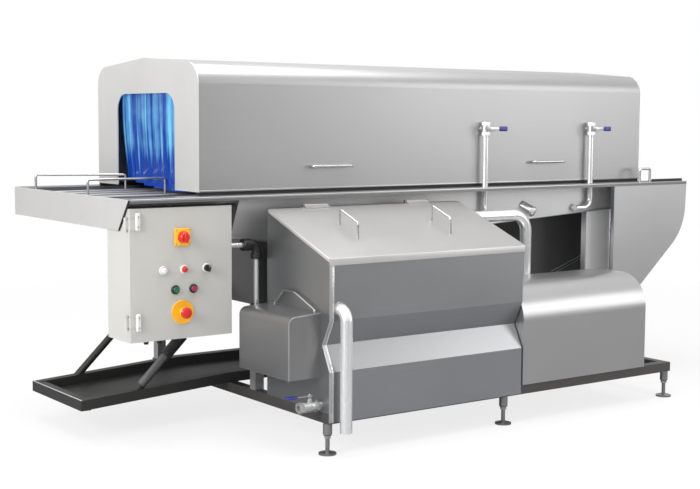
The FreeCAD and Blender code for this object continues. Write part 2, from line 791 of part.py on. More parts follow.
# Conveyor and guides in the tunnel
def make_conveyor():
    """Cross slats between the trough's walls, and four long rods on them."""
    slat_base = size.bed_height - size.bed_rod - size.slat_height
    row = []
    count = int((size.trough_right.number - slat_first.number) / size.slat_pitch.number) + 1
    for turn in range(count):
        left = slat_first + size.slat_pitch * turn - size.slat_width / 2
        tray = left.number + size.slat_width.number < size.trough_left.number
        front = (size.tray_front if tray else size.trough_front) + size.trough_sheet
        back = trough_back - size.trough_sheet
        row.append(box((left, front, slat_base), size.slat_width, back - front, size.slat_height))
    node(group(row), "conveyor_slats")
    run = size.trough_right - tray_inner
    rods = []
    for turn in (-1.5, -0.5, 0.5, 1.5):
        at = (tray_inner, size.bed_spread * turn, size.bed_height - size.bed_rod / 2)
        rods.append(rod(at, "X", run, size.bed_rod))
    node(group(rods), "conveyor_rods")


def make_guides():
    """Bent guide rails that stand on the first two slats, and a small hoop on the rim at the outfeed."""
    foot = size.bed_height - size.bed_rod
    drop = size.guide_height - foot
    rails = []
    run = size.slat_pitch - size.guide_set
    spread = run / cosine(size.guide_turn)
    flare = run * tangent(size.guide_turn)
    for across, reach in ((size.guide_front, run), (size.guide_back + flare, spread)):
        route = [
            (ZERO, ZERO),
            (ZERO, drop, size.guide_bend),
            (reach, drop, size.guide_bend),
            (reach, ZERO),
        ]
        rail = pipe("XZ_Plane", "XY_Plane", route, size.rail_bore, (slat_first, across, foot))
        rails.append(rail)
    turn_about(rails[1], size.guide_turn)
    hoop = [
        (ZERO, ZERO),
        (ZERO, size.hoop_rise, size.guide_bend),
        (size.hoop_length, size.hoop_rise, size.guide_bend),
        (size.hoop_length, ZERO),
    ]
    at = (size.hoop_left, size.hoop_across, rim_top)
    rails.append(pipe("XZ_Plane", "XY_Plane", hoop, size.grip_rod, at))
    node(group(rails), "guide_rails")


def make_curtains():
    """Hanging strips on a rod across the hood, a little inside each end."""
    bars = []
    for label, place_x in (
        ("infeed", size.hood_left + size.curtain_inset),
        ("outfeed", hood_right - size.curtain_inset),
    ):
        rod_height = size.hood_base + size.gate_height + size.curtain_rod
        bars.append(rod(
            (place_x, size.hood_front + size.hood_sheet, rod_height), "Y",
            size.hood_width - 2 * size.hood_sheet, size.curtain_rod,
        ))
        strips = []
        for turn in range(6):
            shift = size.strip_sheet / 2 + size.fit_gap
            at = (
                place_x + (shift if turn % 2 else -shift) - size.strip_sheet / 2,
                hood_middle + size.strip_step * (turn - 2.5) - size.strip_width / 2,
                rod_height - size.curtain_rod / 2 - size.fit_gap - size.strip_drop,
            )
            strips.append(box(at, size.strip_sheet, size.strip_width, size.strip_drop))
        node(group(strips), f"curtain_{label}")
    node(group(bars), "curtain_rods")


# Filter tank with its lid
def lid_top(across):
    """Top of the lid above the floor, at a place across the machine."""
    return size.lid_front_height + lid_slope * (across - lid_front)


def tank_edge(across):
    """Upper edge of the tank's walls, just under the lid."""
    return lid_top(across) - size.lid_sheet - size.lid_gap


def tank_outline(wall):
    return [
        (wall, wall),
        (wall, size.notch_foot - frame_top),
        (size.notch_depth + wall, size.notch_heart - frame_top),
        (wall, size.notch_top - frame_top),
        (wall, tank_edge(size.tank_front) - frame_top),
        (tank_depth - wall, tank_edge(size.tank_back) - frame_top),
        (tank_depth - wall, wall),
    ]


def make_tank():
    """The tank's folded shell, with its skirt, a flange inside the back edge and the lid's hinge pins."""
    outer = profile(
        "YZ_Plane", [tank_outline(ZERO)], size.tank_width,
        (size.tank_left, size.tank_front, frame_top),
    )
    points = tank_outline(size.tank_sheet)
    for index in (4, 5):
        points[index] = (points[index][0], points[index][1] + size.tank_sheet * 2)
    inner = profile(
        "YZ_Plane", [points], size.tank_width - 2 * size.tank_sheet,
        (size.tank_left + size.tank_sheet, size.tank_front, frame_top),
    )
    skirt = box(
        (size.tank_left, size.tank_front, size.skirt_base),
        size.tank_width, size.tank_sheet, frame_top - size.skirt_base,
    )
    flange = box(
        (size.tank_left, size.tank_back - size.flange_width, tank_edge(size.tank_back) - size.flange_drop),
        size.tank_width, size.flange_width, size.tank_sheet,
    )
    pieces = [cut(outer, inner), skirt, flange]
    reach = size.lid_knuckle_length + 2 * size.knuckle_gap + 2 * size.ear_sheet
    ear_front = size.lid_back + size.knuckle_gap
    ear_base = tank_edge(size.tank_back) - size.flange_drop
    ear_height = hinge_height + size.pin_bore - ear_base
    for left in lid_hinge_places():
        start = left - size.knuckle_gap - size.ear_sheet
        for ear_left in (start, start + reach - size.ear_sheet):
            at = (ear_left, ear_front, ear_base)
            pieces.append(box(at, size.ear_sheet, size.tank_back - ear_front, ear_height))
        pieces.append(rod((start, hinge_across, hinge_height), "X", reach, size.pin_bore))
    node(fuse(pieces), "filter_tank")


def lid_hinge_places():
    """Left ends of the lid's two knuckles."""
    return (
        size.tank_left + size.lid_hinge_inset,
        tank_right - size.lid_hinge_inset - size.lid_knuckle_length,
    )


def lid_block():
    """The lid's outer shape, closed."""
    overlap = size.lid_gap + size.lid_sheet
    inside = lid_front + size.lid_sheet
    outer = [
        (lid_front, size.lid_front_height - size.lid_lip),
        (lid_front, size.lid_front_height),
        (size.lid_back, size.lid_back_height),
        (size.lid_back, size.lid_back_height - size.lid_side_lip),
        (inside, lid_top(inside) - size.lid_side_lip),
        (inside, size.lid_front_height - size.lid_lip),
    ]
    width = size.tank_width + 2 * overlap
    return profile("YZ_Plane", [outer], width, (size.tank_left - overlap, ZERO, ZERO))


def make_lid():
    """A shallow folded lid that overlaps the tank's walls, with two knuckles along its back edge."""
    inside = lid_front + size.lid_sheet
    behind = size.lid_back + size.tank_sheet
    inner = [
        (inside, size.lid_front_height - 2 * size.lid_lip),
        (inside, lid_top(inside) - size.lid_sheet),
        (behind, lid_top(behind) - size.lid_sheet),
        (behind, size.lid_front_height - 2 * size.lid_lip),
    ]
    hollow = profile(
        "YZ_Plane", [inner], size.tank_width + 2 * size.lid_gap,
        (size.tank_left - size.lid_gap, ZERO, ZERO),
    )
    tab_front = size.lid_back - size.lid_tab
    grasp = (size.pin_bore + size.lid_knuckle) / 4
    tab = [
        (tab_front, lid_top(tab_front)),
        (tab_front, lid_top(tab_front) + size.tab_sheet),
        (hinge_across - grasp, hinge_height),
        (hinge_across, hinge_height - grasp),
        (size.lid_back, size.lid_back_height),
    ]
    pieces = [cut(lid_block(), hollow)]
    holes = []
    for place_x in lid_hinge_places():
        pieces.append(profile("YZ_Plane", [tab], size.lid_knuckle_length, (place_x, ZERO, ZERO)))
        at = (place_x, hinge_across, hinge_height)
        pieces.append(rod(at, "X", size.lid_knuckle_length, size.lid_knuckle))
        holes.append(rod(at, "X", size.lid_knuckle_length, size.pin_bore + size.pin_gap))
    node(cut(fuse(pieces), group(holes)), "tank_lid")
    front = size.lid_back - size.lid_grip_back
    root = size.lid_grip_rod / 2
    rise = size.lid_grip_rise + root
    run = size.lid_grip_run
    route = [
        (ZERO, ZERO),
        (ZERO, rise, size.lid_grip_rod),
        (-run, rise - lid_slope * run, size.lid_grip_rod),
        (-run, -lid_slope * run),
    ]
    grips = [
        cut(pipe(
            "YZ_Plane", "XY_Plane", route, size.lid_grip_rod,
            (size.tank_left + inset, front, lid_top(front) - root),
        ), lid_block())
        for inset in (size.lid_grip_first, size.lid_grip_second)
    ]
    node(group(grips), "lid_grips")


# Pieces on the filter tank
def make_heater():
    """Heater housing on the tank's left side, with a wire grip on it."""
    width = size.heater_width
    height = size.heater_height
    housing = profile(
        "XZ_Plane",
        [[
            (ZERO, ZERO),
            (ZERO, height - size.heater_fall, size.heater_radius),
            (width, height),
            (width, ZERO),
        ]],
        size.heater_depth, (size.tank_left - width, size.heater_front, size.heater_base),
    )
    root = size.lid_grip_rod * 2
    neck = root + size.heater_grip_neck
    rise = root + size.heater_grip_rise
    level = size.heater_grip_slope + size.heater_grip_run
    end = level + size.heater_grip_fall
    route = [
        (ZERO, ZERO),
        (ZERO, neck, size.lid_grip_rod),
        (size.heater_grip_slope, rise, size.lid_grip_rod * 2),
        (level, rise, size.lid_grip_rod * 2),
        (end, neck, size.lid_grip_rod),
        (end, ZERO),
    ]
    grip = pipe(
        "YZ_Plane", "XY_Plane", route, size.lid_grip_rod,
        (
            size.tank_left - size.heater_grip_inset, size.heater_front + size.heater_grip_front,
            size.heater_base + height - root,
        ),
    )
    node(fuse([housing, grip]), "heater_housing")


def make_overflow():
    """A bent pipe out of the tank's front, open at its lower end."""
    middle = -size.overflow_reach
    route = [
        (ZERO, ZERO),
        (middle, ZERO, size.overflow_bend),
        (middle, size.overflow_foot - size.overflow_height),
    ]
    at = (size.tank_left + size.overflow_place, size.tank_front, size.overflow_height)
    node(pipe("YZ_Plane", "XZ_Plane", route, size.overflow_bore, at, size.overflow_wall), "overflow_pipe")


def make_drain():
    """Drain valve out of the tank's left side, with its lever on top."""
    stem_place = size.tank_left - size.drain_reach / 2
    across = size.tank_front + size.drain_back
    body = rod(
        (size.tank_left - size.drain_reach, across, size.drain_height), "X",
        size.drain_reach, size.drain_bore,
    )
    top = size.drain_height + size.drain_bore / 2 + size.drain_stem / 2
    stem_length = top + size.lever_sheet - size.drain_height
    stem = rod((stem_place, across, size.drain_height), "Z", stem_length, size.stem_bore)
    node(fuse([body, stem]), "drain_valve")
    lever = box(
        (stem_place - size.lever_length + size.lever_tail, across - size.lever_width / 2, top),
        size.lever_length, size.lever_width, size.lever_sheet,
    )
    hole = rod((stem_place, across, top), "Z", size.lever_sheet, size.stem_bore + size.pin_gap)
    node(cut(lever, hole), "drain_lever")


# Pump beside the tank
def pump_block():
    """The pump cover's outer shape, closed."""
    left = tank_right + size.cover_gap
    height = size.cover_top - frame_top
    outline = [
        (ZERO, ZERO),
        (ZERO, height, size.cover_radius),
        (size.cover_depth, height, size.cover_radius),
        (size.cover_depth, ZERO),
    ]
    return profile("YZ_Plane", [outline], size.cover_right - left, (left, size.cover_front, frame_top))


def make_pump():
    """Rounded pump cover, and the pipe from the filter tank down into it."""
    node(pump_block(), "pump_cover")
    reach = size.pump_pipe_place - tank_right
    route = [
        (ZERO, ZERO),
        (reach, ZERO, size.pump_pipe_bend),
        (reach, size.cover_top - size.pump_pipe_height - size.cover_radius / 2),
    ]
    at = (tank_right, size.pump_pipe_across, size.pump_pipe_height)
    bent = pipe("XZ_Plane", "YZ_Plane", route, size.pump_pipe_bore, at)
    node(cut(bent, pump_block()), "pump_pipe")


# Rinse pipes with their valves
def make_rinse():
    """Upright rinse pipes in front of the hood, with a valve on top and a turn into the trough's wall."""
    valve_base = valve_height - size.valve_length / 2
    run = size.rinse_right_run
    routes = (
        (size.rinse_left, size.rinse_left_foot, None),
        (size.rinse_right, size.rinse_right_foot, run),
    )
    columns = []
    for place_x, foot, turn in routes:
        drop = size.rinse_top - foot
        route = [(ZERO, ZERO), (ZERO, -drop)]
        end = place_x
        if turn is not None:
            route = [(ZERO, ZERO), (ZERO, -drop, size.rinse_bend), (-turn, -drop)]
            end = place_x - turn
        column = pipe("XZ_Plane", "XY_Plane", route, size.rinse_bore, (place_x, rinse_across, size.rinse_top))
        outlet = rod((end, rinse_across, foot), "Y", size.trough_front - rinse_across, size.rinse_bore)
        valve = rod((place_x, rinse_across, valve_base), "Z", size.valve_length, size.valve_bore)
        spout = rod(
            (place_x, rinse_across, valve_height), "Y", size.hood_front - rinse_across, size.stem_bore
        )
        stem_front = rinse_across - lever_stand - size.lever_sheet
        stem = rod(
            (place_x, stem_front, valve_height), "Y",
            rinse_across - stem_front, size.stem_bore,
        )
        columns.append(fuse([column, outlet, valve, spout, stem]))
    node(group(columns), "rinse_pipes")
    for label, place_x in (("left", size.rinse_left), ("right", size.rinse_right)):
        front = rinse_across - lever_stand - size.lever_sheet
        lever = box(
            (place_x - size.lever_tail, front, valve_height - size.lever_width / 2),
            size.lever_length, size.lever_sheet, size.lever_width,
        )
        hole = rod((place_x, front, valve_height), "Y", size.lever_sheet, size.stem_bore + size.pin_gap)
        node(cut(lever, hole), f"rinse_lever_{label}")


# Control cabinet
def ring(at, outer, inner, length):
    """A round collar along Y with a hole through it."""
    return cut(rod(at, "Y", length, outer), rod(at, "Y", length, inner))


def door_hinge_bases():
    middles = (cabinet_top - size.hinge_top_drop, cabinet_base + size.hinge_foot_rise)
    return [middle - size.hinge_length / 2 for middle in middles]


def make_cabinet():
    """The cabinet's shell with the fixed halves of its hinges, and its door with the moving halves."""
    sheet_width = size.cabinet_sheet
    outer = box(
        (size.cabinet_left, size.cabinet_front, cabinet_base),
        size.cabinet_width, size.cabinet_depth, cabinet_height,
    )
    inner = box(
        (size.cabinet_left + sheet_width, size.cabinet_front, cabinet_base + sheet_width),
        size.cabinet_width - 2 * sheet_width, size.cabinet_depth - sheet_width,
        cabinet_height - 2 * sheet_width,
    )
    pin_x = size.cabinet_left - size.hinge_stand
    pieces = [cut(outer, inner)]
    for base in door_hinge_bases():
        start = base - size.knuckle_gap - size.ear_sheet
        reach = size.hinge_length + 2 * size.knuckle_gap + 2 * size.ear_sheet
        pieces.append(rod((pin_x, door_back, start), "Z", reach, size.pin_bore))
        for low in (start, start + reach - size.ear_sheet):
            pieces.append(rod((pin_x, door_back, low), "Z", size.ear_sheet, size.hinge_knuckle))
            tab_depth = size.hinge_knuckle + size.door_gap
            pieces.append(box((pin_x, door_back, low), size.hinge_stand, tab_depth, size.ear_sheet))
    node(fuse(pieces), "cabinet_body")
    panel = box(
        (size.cabinet_left, door_front, cabinet_base),
        size.cabinet_width, size.door_depth, cabinet_height,
    )
    recess = box(
        (size.cabinet_left + sheet_width, door_front + sheet_width, cabinet_base + sheet_width),
        size.cabinet_width - 2 * sheet_width, size.door_depth - sheet_width,
        cabinet_height - 2 * sheet_width,
    )
    leaves = []
    holes = []
    for base in door_hinge_bases():
        leaves.append(rod((pin_x, door_back, base), "Z", size.hinge_length, size.hinge_knuckle))
        at = (pin_x, door_back - size.hinge_knuckle / 2, base)
        leaves.append(box(at, size.hinge_stand, size.hinge_knuckle / 2, size.hinge_length))
        holes.append(rod((pin_x, door_back, base), "Z", size.hinge_length, size.pin_bore + size.pin_gap))
        at = (size.cabinet_left, door_front - size.leaf_sheet, base)
        leaves.append(box(at, size.hinge_leaf, size.leaf_sheet, size.hinge_length))
    node(cut(fuse([cut(panel, recess)] + leaves), group(holes)), "cabinet_door")


def make_controls():
    """Plates, collars and lamps on the door, and the switches and buttons that move in them."""
    fittings = []
    half = size.switch_plate / 2
    switch_face = door_front - size.plate_depth
    fittings.append(box(
        (control_place - half, switch_face, switch_height - half),
        size.switch_plate, size.plate_depth, size.switch_plate,
    ))
    knob_front = switch_face - size.knob_depth
    knob = rod((control_place, knob_front, switch_height), "Y", size.knob_depth, size.knob_bore)
    bar = box(
        (control_place - size.grip_bar / 2, knob_front - size.plate_depth, switch_height - size.knob_bore / 2),
        size.grip_bar, size.plate_depth, size.knob_bore,
    )
    node(fuse([knob, bar]), "switch_knob")
    neck = size.stop_neck + 2 * size.slide_gap
    disc_front = door_front - size.stop_disc
    collar_front = disc_front - size.stop_collar_height
    collar = fuse([
        rod((control_place, disc_front, stop_height), "Y", size.stop_disc, size.stop_plate),
        rod((control_place, collar_front, stop_height), "Y", size.stop_collar_height, size.stop_collar),
    ])
    at = (control_place, collar_front, stop_height)
    fittings.append(cut(collar, rod(at, "Y", size.stop_collar_height + size.stop_disc, neck)))
    head_back = collar_front - size.stop_travel - size.knuckle_gap
    head_front = head_back - size.stop_head_height
    stem_end = door_front - size.stop_travel - size.knuckle_gap
    node(fuse([
        rod((control_place, head_front, stop_height), "Y", size.stop_head_height, size.stop_head),
        rod((control_place, head_front, stop_height), "Y", stem_end - head_front, size.stop_neck),
    ]), "stop_button")
    bezel_front = door_front - size.bezel_height
    for inset, row in ((size.lamp_white, button_row), (size.lamp_red, button_row)):
        at = (size.cabinet_left + inset, bezel_front, row)
        lamp_at = (size.cabinet_left + inset, bezel_front - size.lamp_rise, row)
        fittings.append(fuse([
            rod(at, "Y", size.bezel_height, size.button_bezel),
            rod(lamp_at, "Y", size.lamp_rise, size.cap_bore),
        ]))
    for label, inset in (("start_button", size.start_place), ("halt_button", size.halt_place)):
        place_x = size.cabinet_left + inset
        at = (place_x, bezel_front, button_row_low)
        fittings.append(ring(at, size.button_bezel, size.cap_bore + 2 * size.slide_gap, size.bezel_height))
        cap_front = bezel_front - size.cap_rise
        cap_length = size.bezel_height + size.cap_rise - size.button_travel - size.door_gap
        cap = rod((place_x, cap_front, button_row_low), "Y", cap_length, size.cap_bore)
        node(cap, label)
    place_x = size.cabinet_left + size.selector_place
    fittings.append(rod((place_x, bezel_front, button_row), "Y", size.bezel_height, size.button_bezel))
    knob_front = bezel_front - size.selector_rise
    knob = rod((place_x, knob_front, button_row), "Y", size.selector_rise, size.selector_bore)
    bar = box(
        (place_x - size.grip_bar / 2, knob_front - size.lamp_rise, button_row - size.selector_bore / 2),
        size.grip_bar, size.lamp_rise, size.selector_bore,
    )
    node(fuse([knob, bar]), "selector_knob")
    node(group(fittings), "door_fittings")


def make_glands():
    """Cable glands under the cabinet."""
    across = size.cabinet_front + size.gland_inset
    glands = []
    for inset, bore in (
        (size.gland_place, size.gland_bore),
        (size.gland_place + size.gland_step, size.gland_bore),
        (size.hose_place, size.hose_bore),
    ):
        at = (size.cabinet_left + inset, across, cabinet_base - size.gland_length)
        glands.append(rod(at, "Z", size.gland_length, bore))
    node(group(glands), "cable_glands")


def make_feed():
    """Supply pipe from the cabinet's side, down to an elbow on the heater housing's back."""
    start = size.cabinet_left + size.cabinet_width
    route = [
        (ZERO, ZERO),
        (size.feed_place - start, ZERO, size.feed_bend),
        (size.feed_place - start, size.feed_outlet - size.feed_height),
    ]
    at = (start, size.feed_across, size.feed_height)
    heater_back = size.heater_front + size.heater_depth
    elbow = rod(
        (size.feed_place, heater_back, size.feed_outlet), "Y",
        size.feed_across + size.feed_elbow / 2 - heater_back, size.feed_elbow,
    )
    node(fuse([pipe("XZ_Plane", "YZ_Plane", route, size.feed_bore, at), elbow]), "supply_pipe")


# Base, feet and legs
def wing_run(across, depth, thickness):
    """A strip of the infeed extension: it climbs onto the frame, and goes on level over two cross rails."""
    tube = size.frame_rail
    climb = size.frame_left - size.wing_left
    end = size.frame_middle + tube - size.wing_left
    outline = [
        (ZERO, ZERO),
        (climb, tube),
        (end, tube),
        (end, tube + thickness),
        (climb, tube + thickness),
        (ZERO, thickness),
    ]
    return profile("XZ_Plane", [outline], depth, (size.wing_left, across, size.frame_base))


def make_base():
    """Ladder frame of square tube, and the extension with its pan at the infeed."""
    tube = size.frame_rail
    length = size.frame_right - size.frame_left
    inside = size.frame_front + tube
    depth = size.frame_back - tube - inside
    rails = [
        box((size.frame_left, across, size.frame_base), length, tube, tube)
        for across in (size.frame_front, size.frame_back - tube)
    ]
    node(group(rails), "base_rails")
    crosses = [
        box((left, inside, size.frame_base), tube, depth, tube)
        for left in (size.frame_left, size.frame_middle, size.frame_right - tube)
    ]
    node(group(crosses), "base_crosses")
    wing = [
        wing_run(size.wing_front, tube, tube),
        wing_run(size.wing_front + size.wing_width - tube, tube, tube),
        wing_run(size.wing_front, size.wing_width, size.pan_sheet),
        box((size.wing_left, size.wing_front, size.frame_base), tube, size.wing_width, tube),
    ]
    node(fuse(wing), "infeed_extension")


def make_feet():
    """Levelling feet under the base frame: a boss, a spindle and a disc each."""
    rows = (size.frame_front + size.foot_row, size.frame_back - size.foot_row)
    for label, across in (("front", rows[0]), ("back", rows[1])):
        row = []
        for place_x in (size.foot_left, size.foot_middle, size.foot_right):
            boss_base = size.frame_base - size.foot_boss_height
            outline = [
                (ZERO, ZERO),
                (size.foot_disc / 2, ZERO),
                (size.foot_disc / 2, size.foot_disc_height / 2),
                (size.foot_spindle / 2, size.foot_disc_height),
                (size.foot_spindle / 2, boss_base),
                (size.foot_boss / 2, boss_base),
                (size.foot_boss / 2, size.frame_base),
                (ZERO, size.frame_base),
            ]
            row.append(turned(outline, (place_x, across, ZERO)))
        node(group(row), f"feet_{label}")


def make_legs():
    """Legs under the sump at the infeed end and posts under the trough at the outfeed end."""
    tube = size.frame_rail
    fronts = (size.trough_front + size.post_set, size.frame_back - tube)
    legs = [
        box((size.frame_left, across, frame_top), tube, tube, size.sump_base - frame_top)
        for across in (size.trough_front, size.sump_back - tube)
    ]
    node(group(legs), "sump_legs")
    posts = [
        trim_under_trough(box(
            (size.post_left, across, frame_top), size.post_width, size.post_depth, rim_base - frame_top
        ))
        for across in fronts
    ]
    node(group(posts), "outfeed_posts")
    struts = []
    length = size.sump_base * 2
    back_wall = size.wing_front + size.wing_width - tube
    for wall, foot in ((size.wing_front, size.strut_foot), (back_wall, size.strut_foot - size.strut_stagger)):
        across = wall + tube / 2
        leaning = doc.addObject("Part::Cylinder", "Strut")
        bind(leaning, "Radius", size.strut_bore / 2)
        bind(leaning, "Height", length)
        leaning.Placement = FreeCAD.Placement(
            FreeCAD.Vector(), FreeCAD.Rotation(FreeCAD.Vector(0, 1, 0), size.strut_lean.number)
        )
        leaning.setExpression("Placement.Rotation.Angle", f"{size.strut_lean.text} * 1 deg")
        run = tangent(size.strut_lean) * (frame_top - size.frame_base)
        place(leaning, (foot - run, across, size.frame_base))
        block = box(
            (size.wing_left, wall, frame_top), size.tank_left - size.wing_left, tube, length,
        )
        struts.append(cut(common(leaning, block), wing_run(wall, tube, tube)))
    node(group(struts), "struts")


# Sump and drive under the trough
def make_sump():
    """Sump shell under the trough, which closes it."""
    wall = size.trough_sheet
    height = rim_base - size.sump_base
    outer = box(
        (size.tank_left, size.trough_front, size.sump_base), size.sump_right - size.tank_left,
        size.sump_back - size.trough_front, height,
    )
    inner = box(
        (size.tank_left + wall, size.trough_front + wall, size.sump_base + wall),
        size.sump_right - size.tank_left - 2 * wall,
        size.sump_back - size.trough_front - 2 * wall, height,
    )
    node(trim_under_trough(cut(outer, inner)), "sump")


def make_drive():
    """Closed drive housing under the trough."""
    block = box(
        (size.drive_left, size.drive_front, size.drive_base),
        size.post_left + size.post_width - size.drive_left, size.drive_depth, rim_base - size.drive_base,
    )
    node(trim_under_trough(block), "drive_housing")


make_hood()
make_gasket()
make_hood_grips()
make_trough()
make_rim()
make_outfeed()
make_conveyor()
make_guides()
make_curtains()
make_tank()
make_lid()
make_heater()
make_overflow()
make_drain()
make_pump()
make_rinse()
make_cabinet()
make_controls()
make_glands()
make_feed()
make_base()
make_feet()
make_legs()
make_sump()
make_drive()

doc.recompute()
for item in doc.Objects:
    if "Invalid" in item.State or "Error" in item.State:
        raise RuntimeError(f"{item.Name} ({item.Label}) failed: {item.State}")
for item in nodes:
    if item.Shape.isNull() or not item.Shape.isValid():
        raise RuntimeError(f"{item.Label} has no valid shape")
for item in nodes:
    item.Shape.exportStep(f"parts/{item.Label}.step")
    span = item.Shape.optimalBoundingBox(False)
    print(
        f"{item.Label:24s} {len(item.Shape.Solids):3d} solids {item.Shape.Volume / 1e6:9.3f} dm3"
        f"  x {span.XMin:8.1f} {span.XMax:8.1f}  y {span.YMin:8.1f} {span.YMax:8.1f}"
        f"  z {span.ZMin:8.1f} {span.ZMax:8.1f}"
    )
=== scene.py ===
# %% [markdown]
# A bin tunnel washer: a hooded wash tunnel of stainless steel over a sloping trough, with a filter tank, a
# pump cover, a heater housing and a control cabinet on the operator's side. The solid parts come from the
# CAD model as they are and get their finishes here, and the small and bent parts that a machine like this
# also has are modelled on them.

# %% The frame
import math
import random

import bmesh
import bpy
from mathutils import Euler, Matrix, Vector


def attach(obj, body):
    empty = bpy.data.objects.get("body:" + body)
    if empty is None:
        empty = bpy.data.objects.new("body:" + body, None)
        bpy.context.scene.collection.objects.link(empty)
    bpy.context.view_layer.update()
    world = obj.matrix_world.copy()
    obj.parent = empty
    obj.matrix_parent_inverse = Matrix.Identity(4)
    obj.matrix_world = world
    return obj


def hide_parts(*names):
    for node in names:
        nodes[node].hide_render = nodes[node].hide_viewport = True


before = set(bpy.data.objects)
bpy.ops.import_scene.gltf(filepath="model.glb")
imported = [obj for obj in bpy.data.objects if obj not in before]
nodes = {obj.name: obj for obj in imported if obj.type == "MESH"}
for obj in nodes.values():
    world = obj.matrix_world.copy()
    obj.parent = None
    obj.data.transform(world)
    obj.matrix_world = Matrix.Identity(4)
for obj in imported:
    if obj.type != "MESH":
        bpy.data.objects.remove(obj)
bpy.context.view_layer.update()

# %% [markdown]
# The photograph was taken from the operator's side, a little to the left, with a long lens at chest height.
# A pinhole camera with the same place, turn and focal length puts each edge where the photograph has it.

# %% Camera
SENSOR = 36.0
FOCAL = 68.36
CAMERA_PLACE = Vector((-3.6028, -4.6023, 1.2286))
CAMERA_TURN = Euler((math.radians(84.542), 0, math.radians(-35.817)))
CAMERA_ROLL = 0.006

lens = bpy.data.cameras.new("camera")
lens.sensor_width, lens.lens = SENSOR, FOCAL
camera = bpy.data.objects.new("camera", lens)
bpy.context.scene.collection.objects.link(camera)
rolled = CAMERA_TURN.to_matrix() @ Matrix.Rotation(CAMERA_ROLL, 3, "Z")
camera.matrix_world = Matrix.Translation(CAMERA_PLACE) @ rolled.to_4x4()
bpy.context.scene.camera = camera
print("camera at", tuple(round(v, 3) for v in CAMERA_PLACE))

# %% [markdown]
# A finish is a node tree. Written node by node it is hard to read, so one small class wraps an output socket
# and gives it plus, minus, times and divide, and another makes any node from its type, its settings and the
# values or links of its sockets.

# %% Shader helpers
class Wire:
    """An output socket that takes part in arithmetic. Each sign adds a Math node."""

    def __init__(self, finish, socket):
        self.finish, self.socket = finish, socket

    def math(self, operation, first, second):
        return self.finish.node("Math", {0: first, 1: second}, operation=operation)

    def __add__(self, other):
        return self.math("ADD", self, other)

    def __sub__(self, other):
        return self.math("SUBTRACT", self, other)

    def __rsub__(self, other):
        return self.math("SUBTRACT", other, self)

    def __mul__(self, other):
        return self.math("MULTIPLY", self, other)

    def __truediv__(self, other):
        return self.math("DIVIDE", self, other)

    __radd__, __rmul__ = __add__, __mul__

    def above(self, level):
        return self.math("GREATER_THAN", self, level)

    def both(self, other):
        return self.math("MULTIPLY", self, other)

    def most(self, other):
        return self.math("MAXIMUM", self, other)


class Finish:
    """One material. Constants go straight onto the shader's own sockets."""

    def __init__(self, name, **constants):
        self.material = bpy.data.materials.new(name)
        self.material.use_nodes = True
        self.tree = self.material.node_tree
        self.shader = self.tree.nodes["Principled BSDF"]
        for socket, value in constants.items():
            self.shader.inputs[socket.replace("_", " ")].default_value = value

    def node(self, kind, inputs=(), output=0, stops=(), **settings):
        made = self.tree.nodes.new("ShaderNode" + kind)
        for name, value in settings.items():
            setattr(made, name, value)
        for place, (at, colour) in enumerate(stops):
            steps = made.color_ramp.elements
            step = steps[place] if place < len(steps) else steps.new(at)
            step.position, step.color = at, colour
        for key, value in dict(inputs).items():
            self.feed(made.inputs[key], value)
        return Wire(self, made.outputs[output])

    def feed(self, target, value):
        if isinstance(value, Wire):
            self.tree.links.new(value.socket, target)
        else:
            target.default_value = value

    def set(self, **links):
        for name, value in links.items():
            self.feed(self.shader.inputs[name.replace("_", " ")], value)
        return self

    def place(self):
        return self.node("TexCoord", output="Object")

    def axis(self, letter):
        return self.node("SeparateXYZ", {0: self.place()}, output=letter)

    def stretched(self, scale):
        return self.node("VectorMath", {0: self.place(), 1: scale}, operation="MULTIPLY")

    def noise(self, where, scale, detail=3.0, roughness=0.55):
        inputs = {"Vector": where, "Scale": scale, "Detail": detail, "Roughness": roughness}
        return self.node("TexNoise", inputs)

    def spread(self, value, low, high, to_low=0.0, to_high=1.0):
        inputs = {0: value, 1: low, 2: high, 3: to_low, 4: to_high}
        return self.node("MapRange", inputs)

    def mix(self, mask, first, second):
        inputs = {0: mask, 6: first, 7: second}
        return self.node("Mix", inputs, output=2, data_type="RGBA")

    def bump(self, height, distance, strength=1.0):
        inputs = {"Height": height, "Distance": distance, "Strength": strength}
        return self.node("Bump", inputs)


def rgb(level, warmth=0.0):
    """A linear grey with its red raised and its blue lowered by a share."""
    return (level * (1 + warmth), level, level * (1 - warmth), 1)


# %% [markdown]
# Satin stainless sheet is brushed in one direction. The fine lines run along the sheet, and broad soft clouds come from
# handling and from the water that has dried on it. Noise that is squeezed across the brushing gives the lines, and slow
# noise gives the clouds. Both go into the colour and the roughness, and the lines also into a faint bump.

# %% Stainless finishes
FINE_LINES = 420.0
ALONG_LINES = 3.0
GRAIN = {
    "x": (ALONG_LINES, FINE_LINES, FINE_LINES),
    "y": (FINE_LINES, ALONG_LINES, FINE_LINES),
    "z": (FINE_LINES, FINE_LINES, ALONG_LINES),
}


def stainless(name, tone, along="x", rough=0.38, lines=0.10, clouds=0.12, metal=0.8, warmth=0.0):
    finish = Finish(name, Metallic=metal)
    brushed = finish.noise(finish.stretched(GRAIN[along]), 1.0, 2.0, 0.6)
    cloudy = finish.noise(finish.place(), 2.3, 4.0)
    mask = (brushed - 0.5) * (lines * 5) + (cloudy - 0.5) * (clouds * 5) + 0.5
    finish.set(
        Base_Color=finish.mix(mask, rgb(tone * 0.9, warmth), rgb(tone * 1.1, warmth)),
        Roughness=(brushed - 0.5) * 0.12 + (cloudy - 0.5) * 0.10 + rough,
        Normal=finish.bump(brushed, 0.00012, 0.35),
    )
    return finish.material
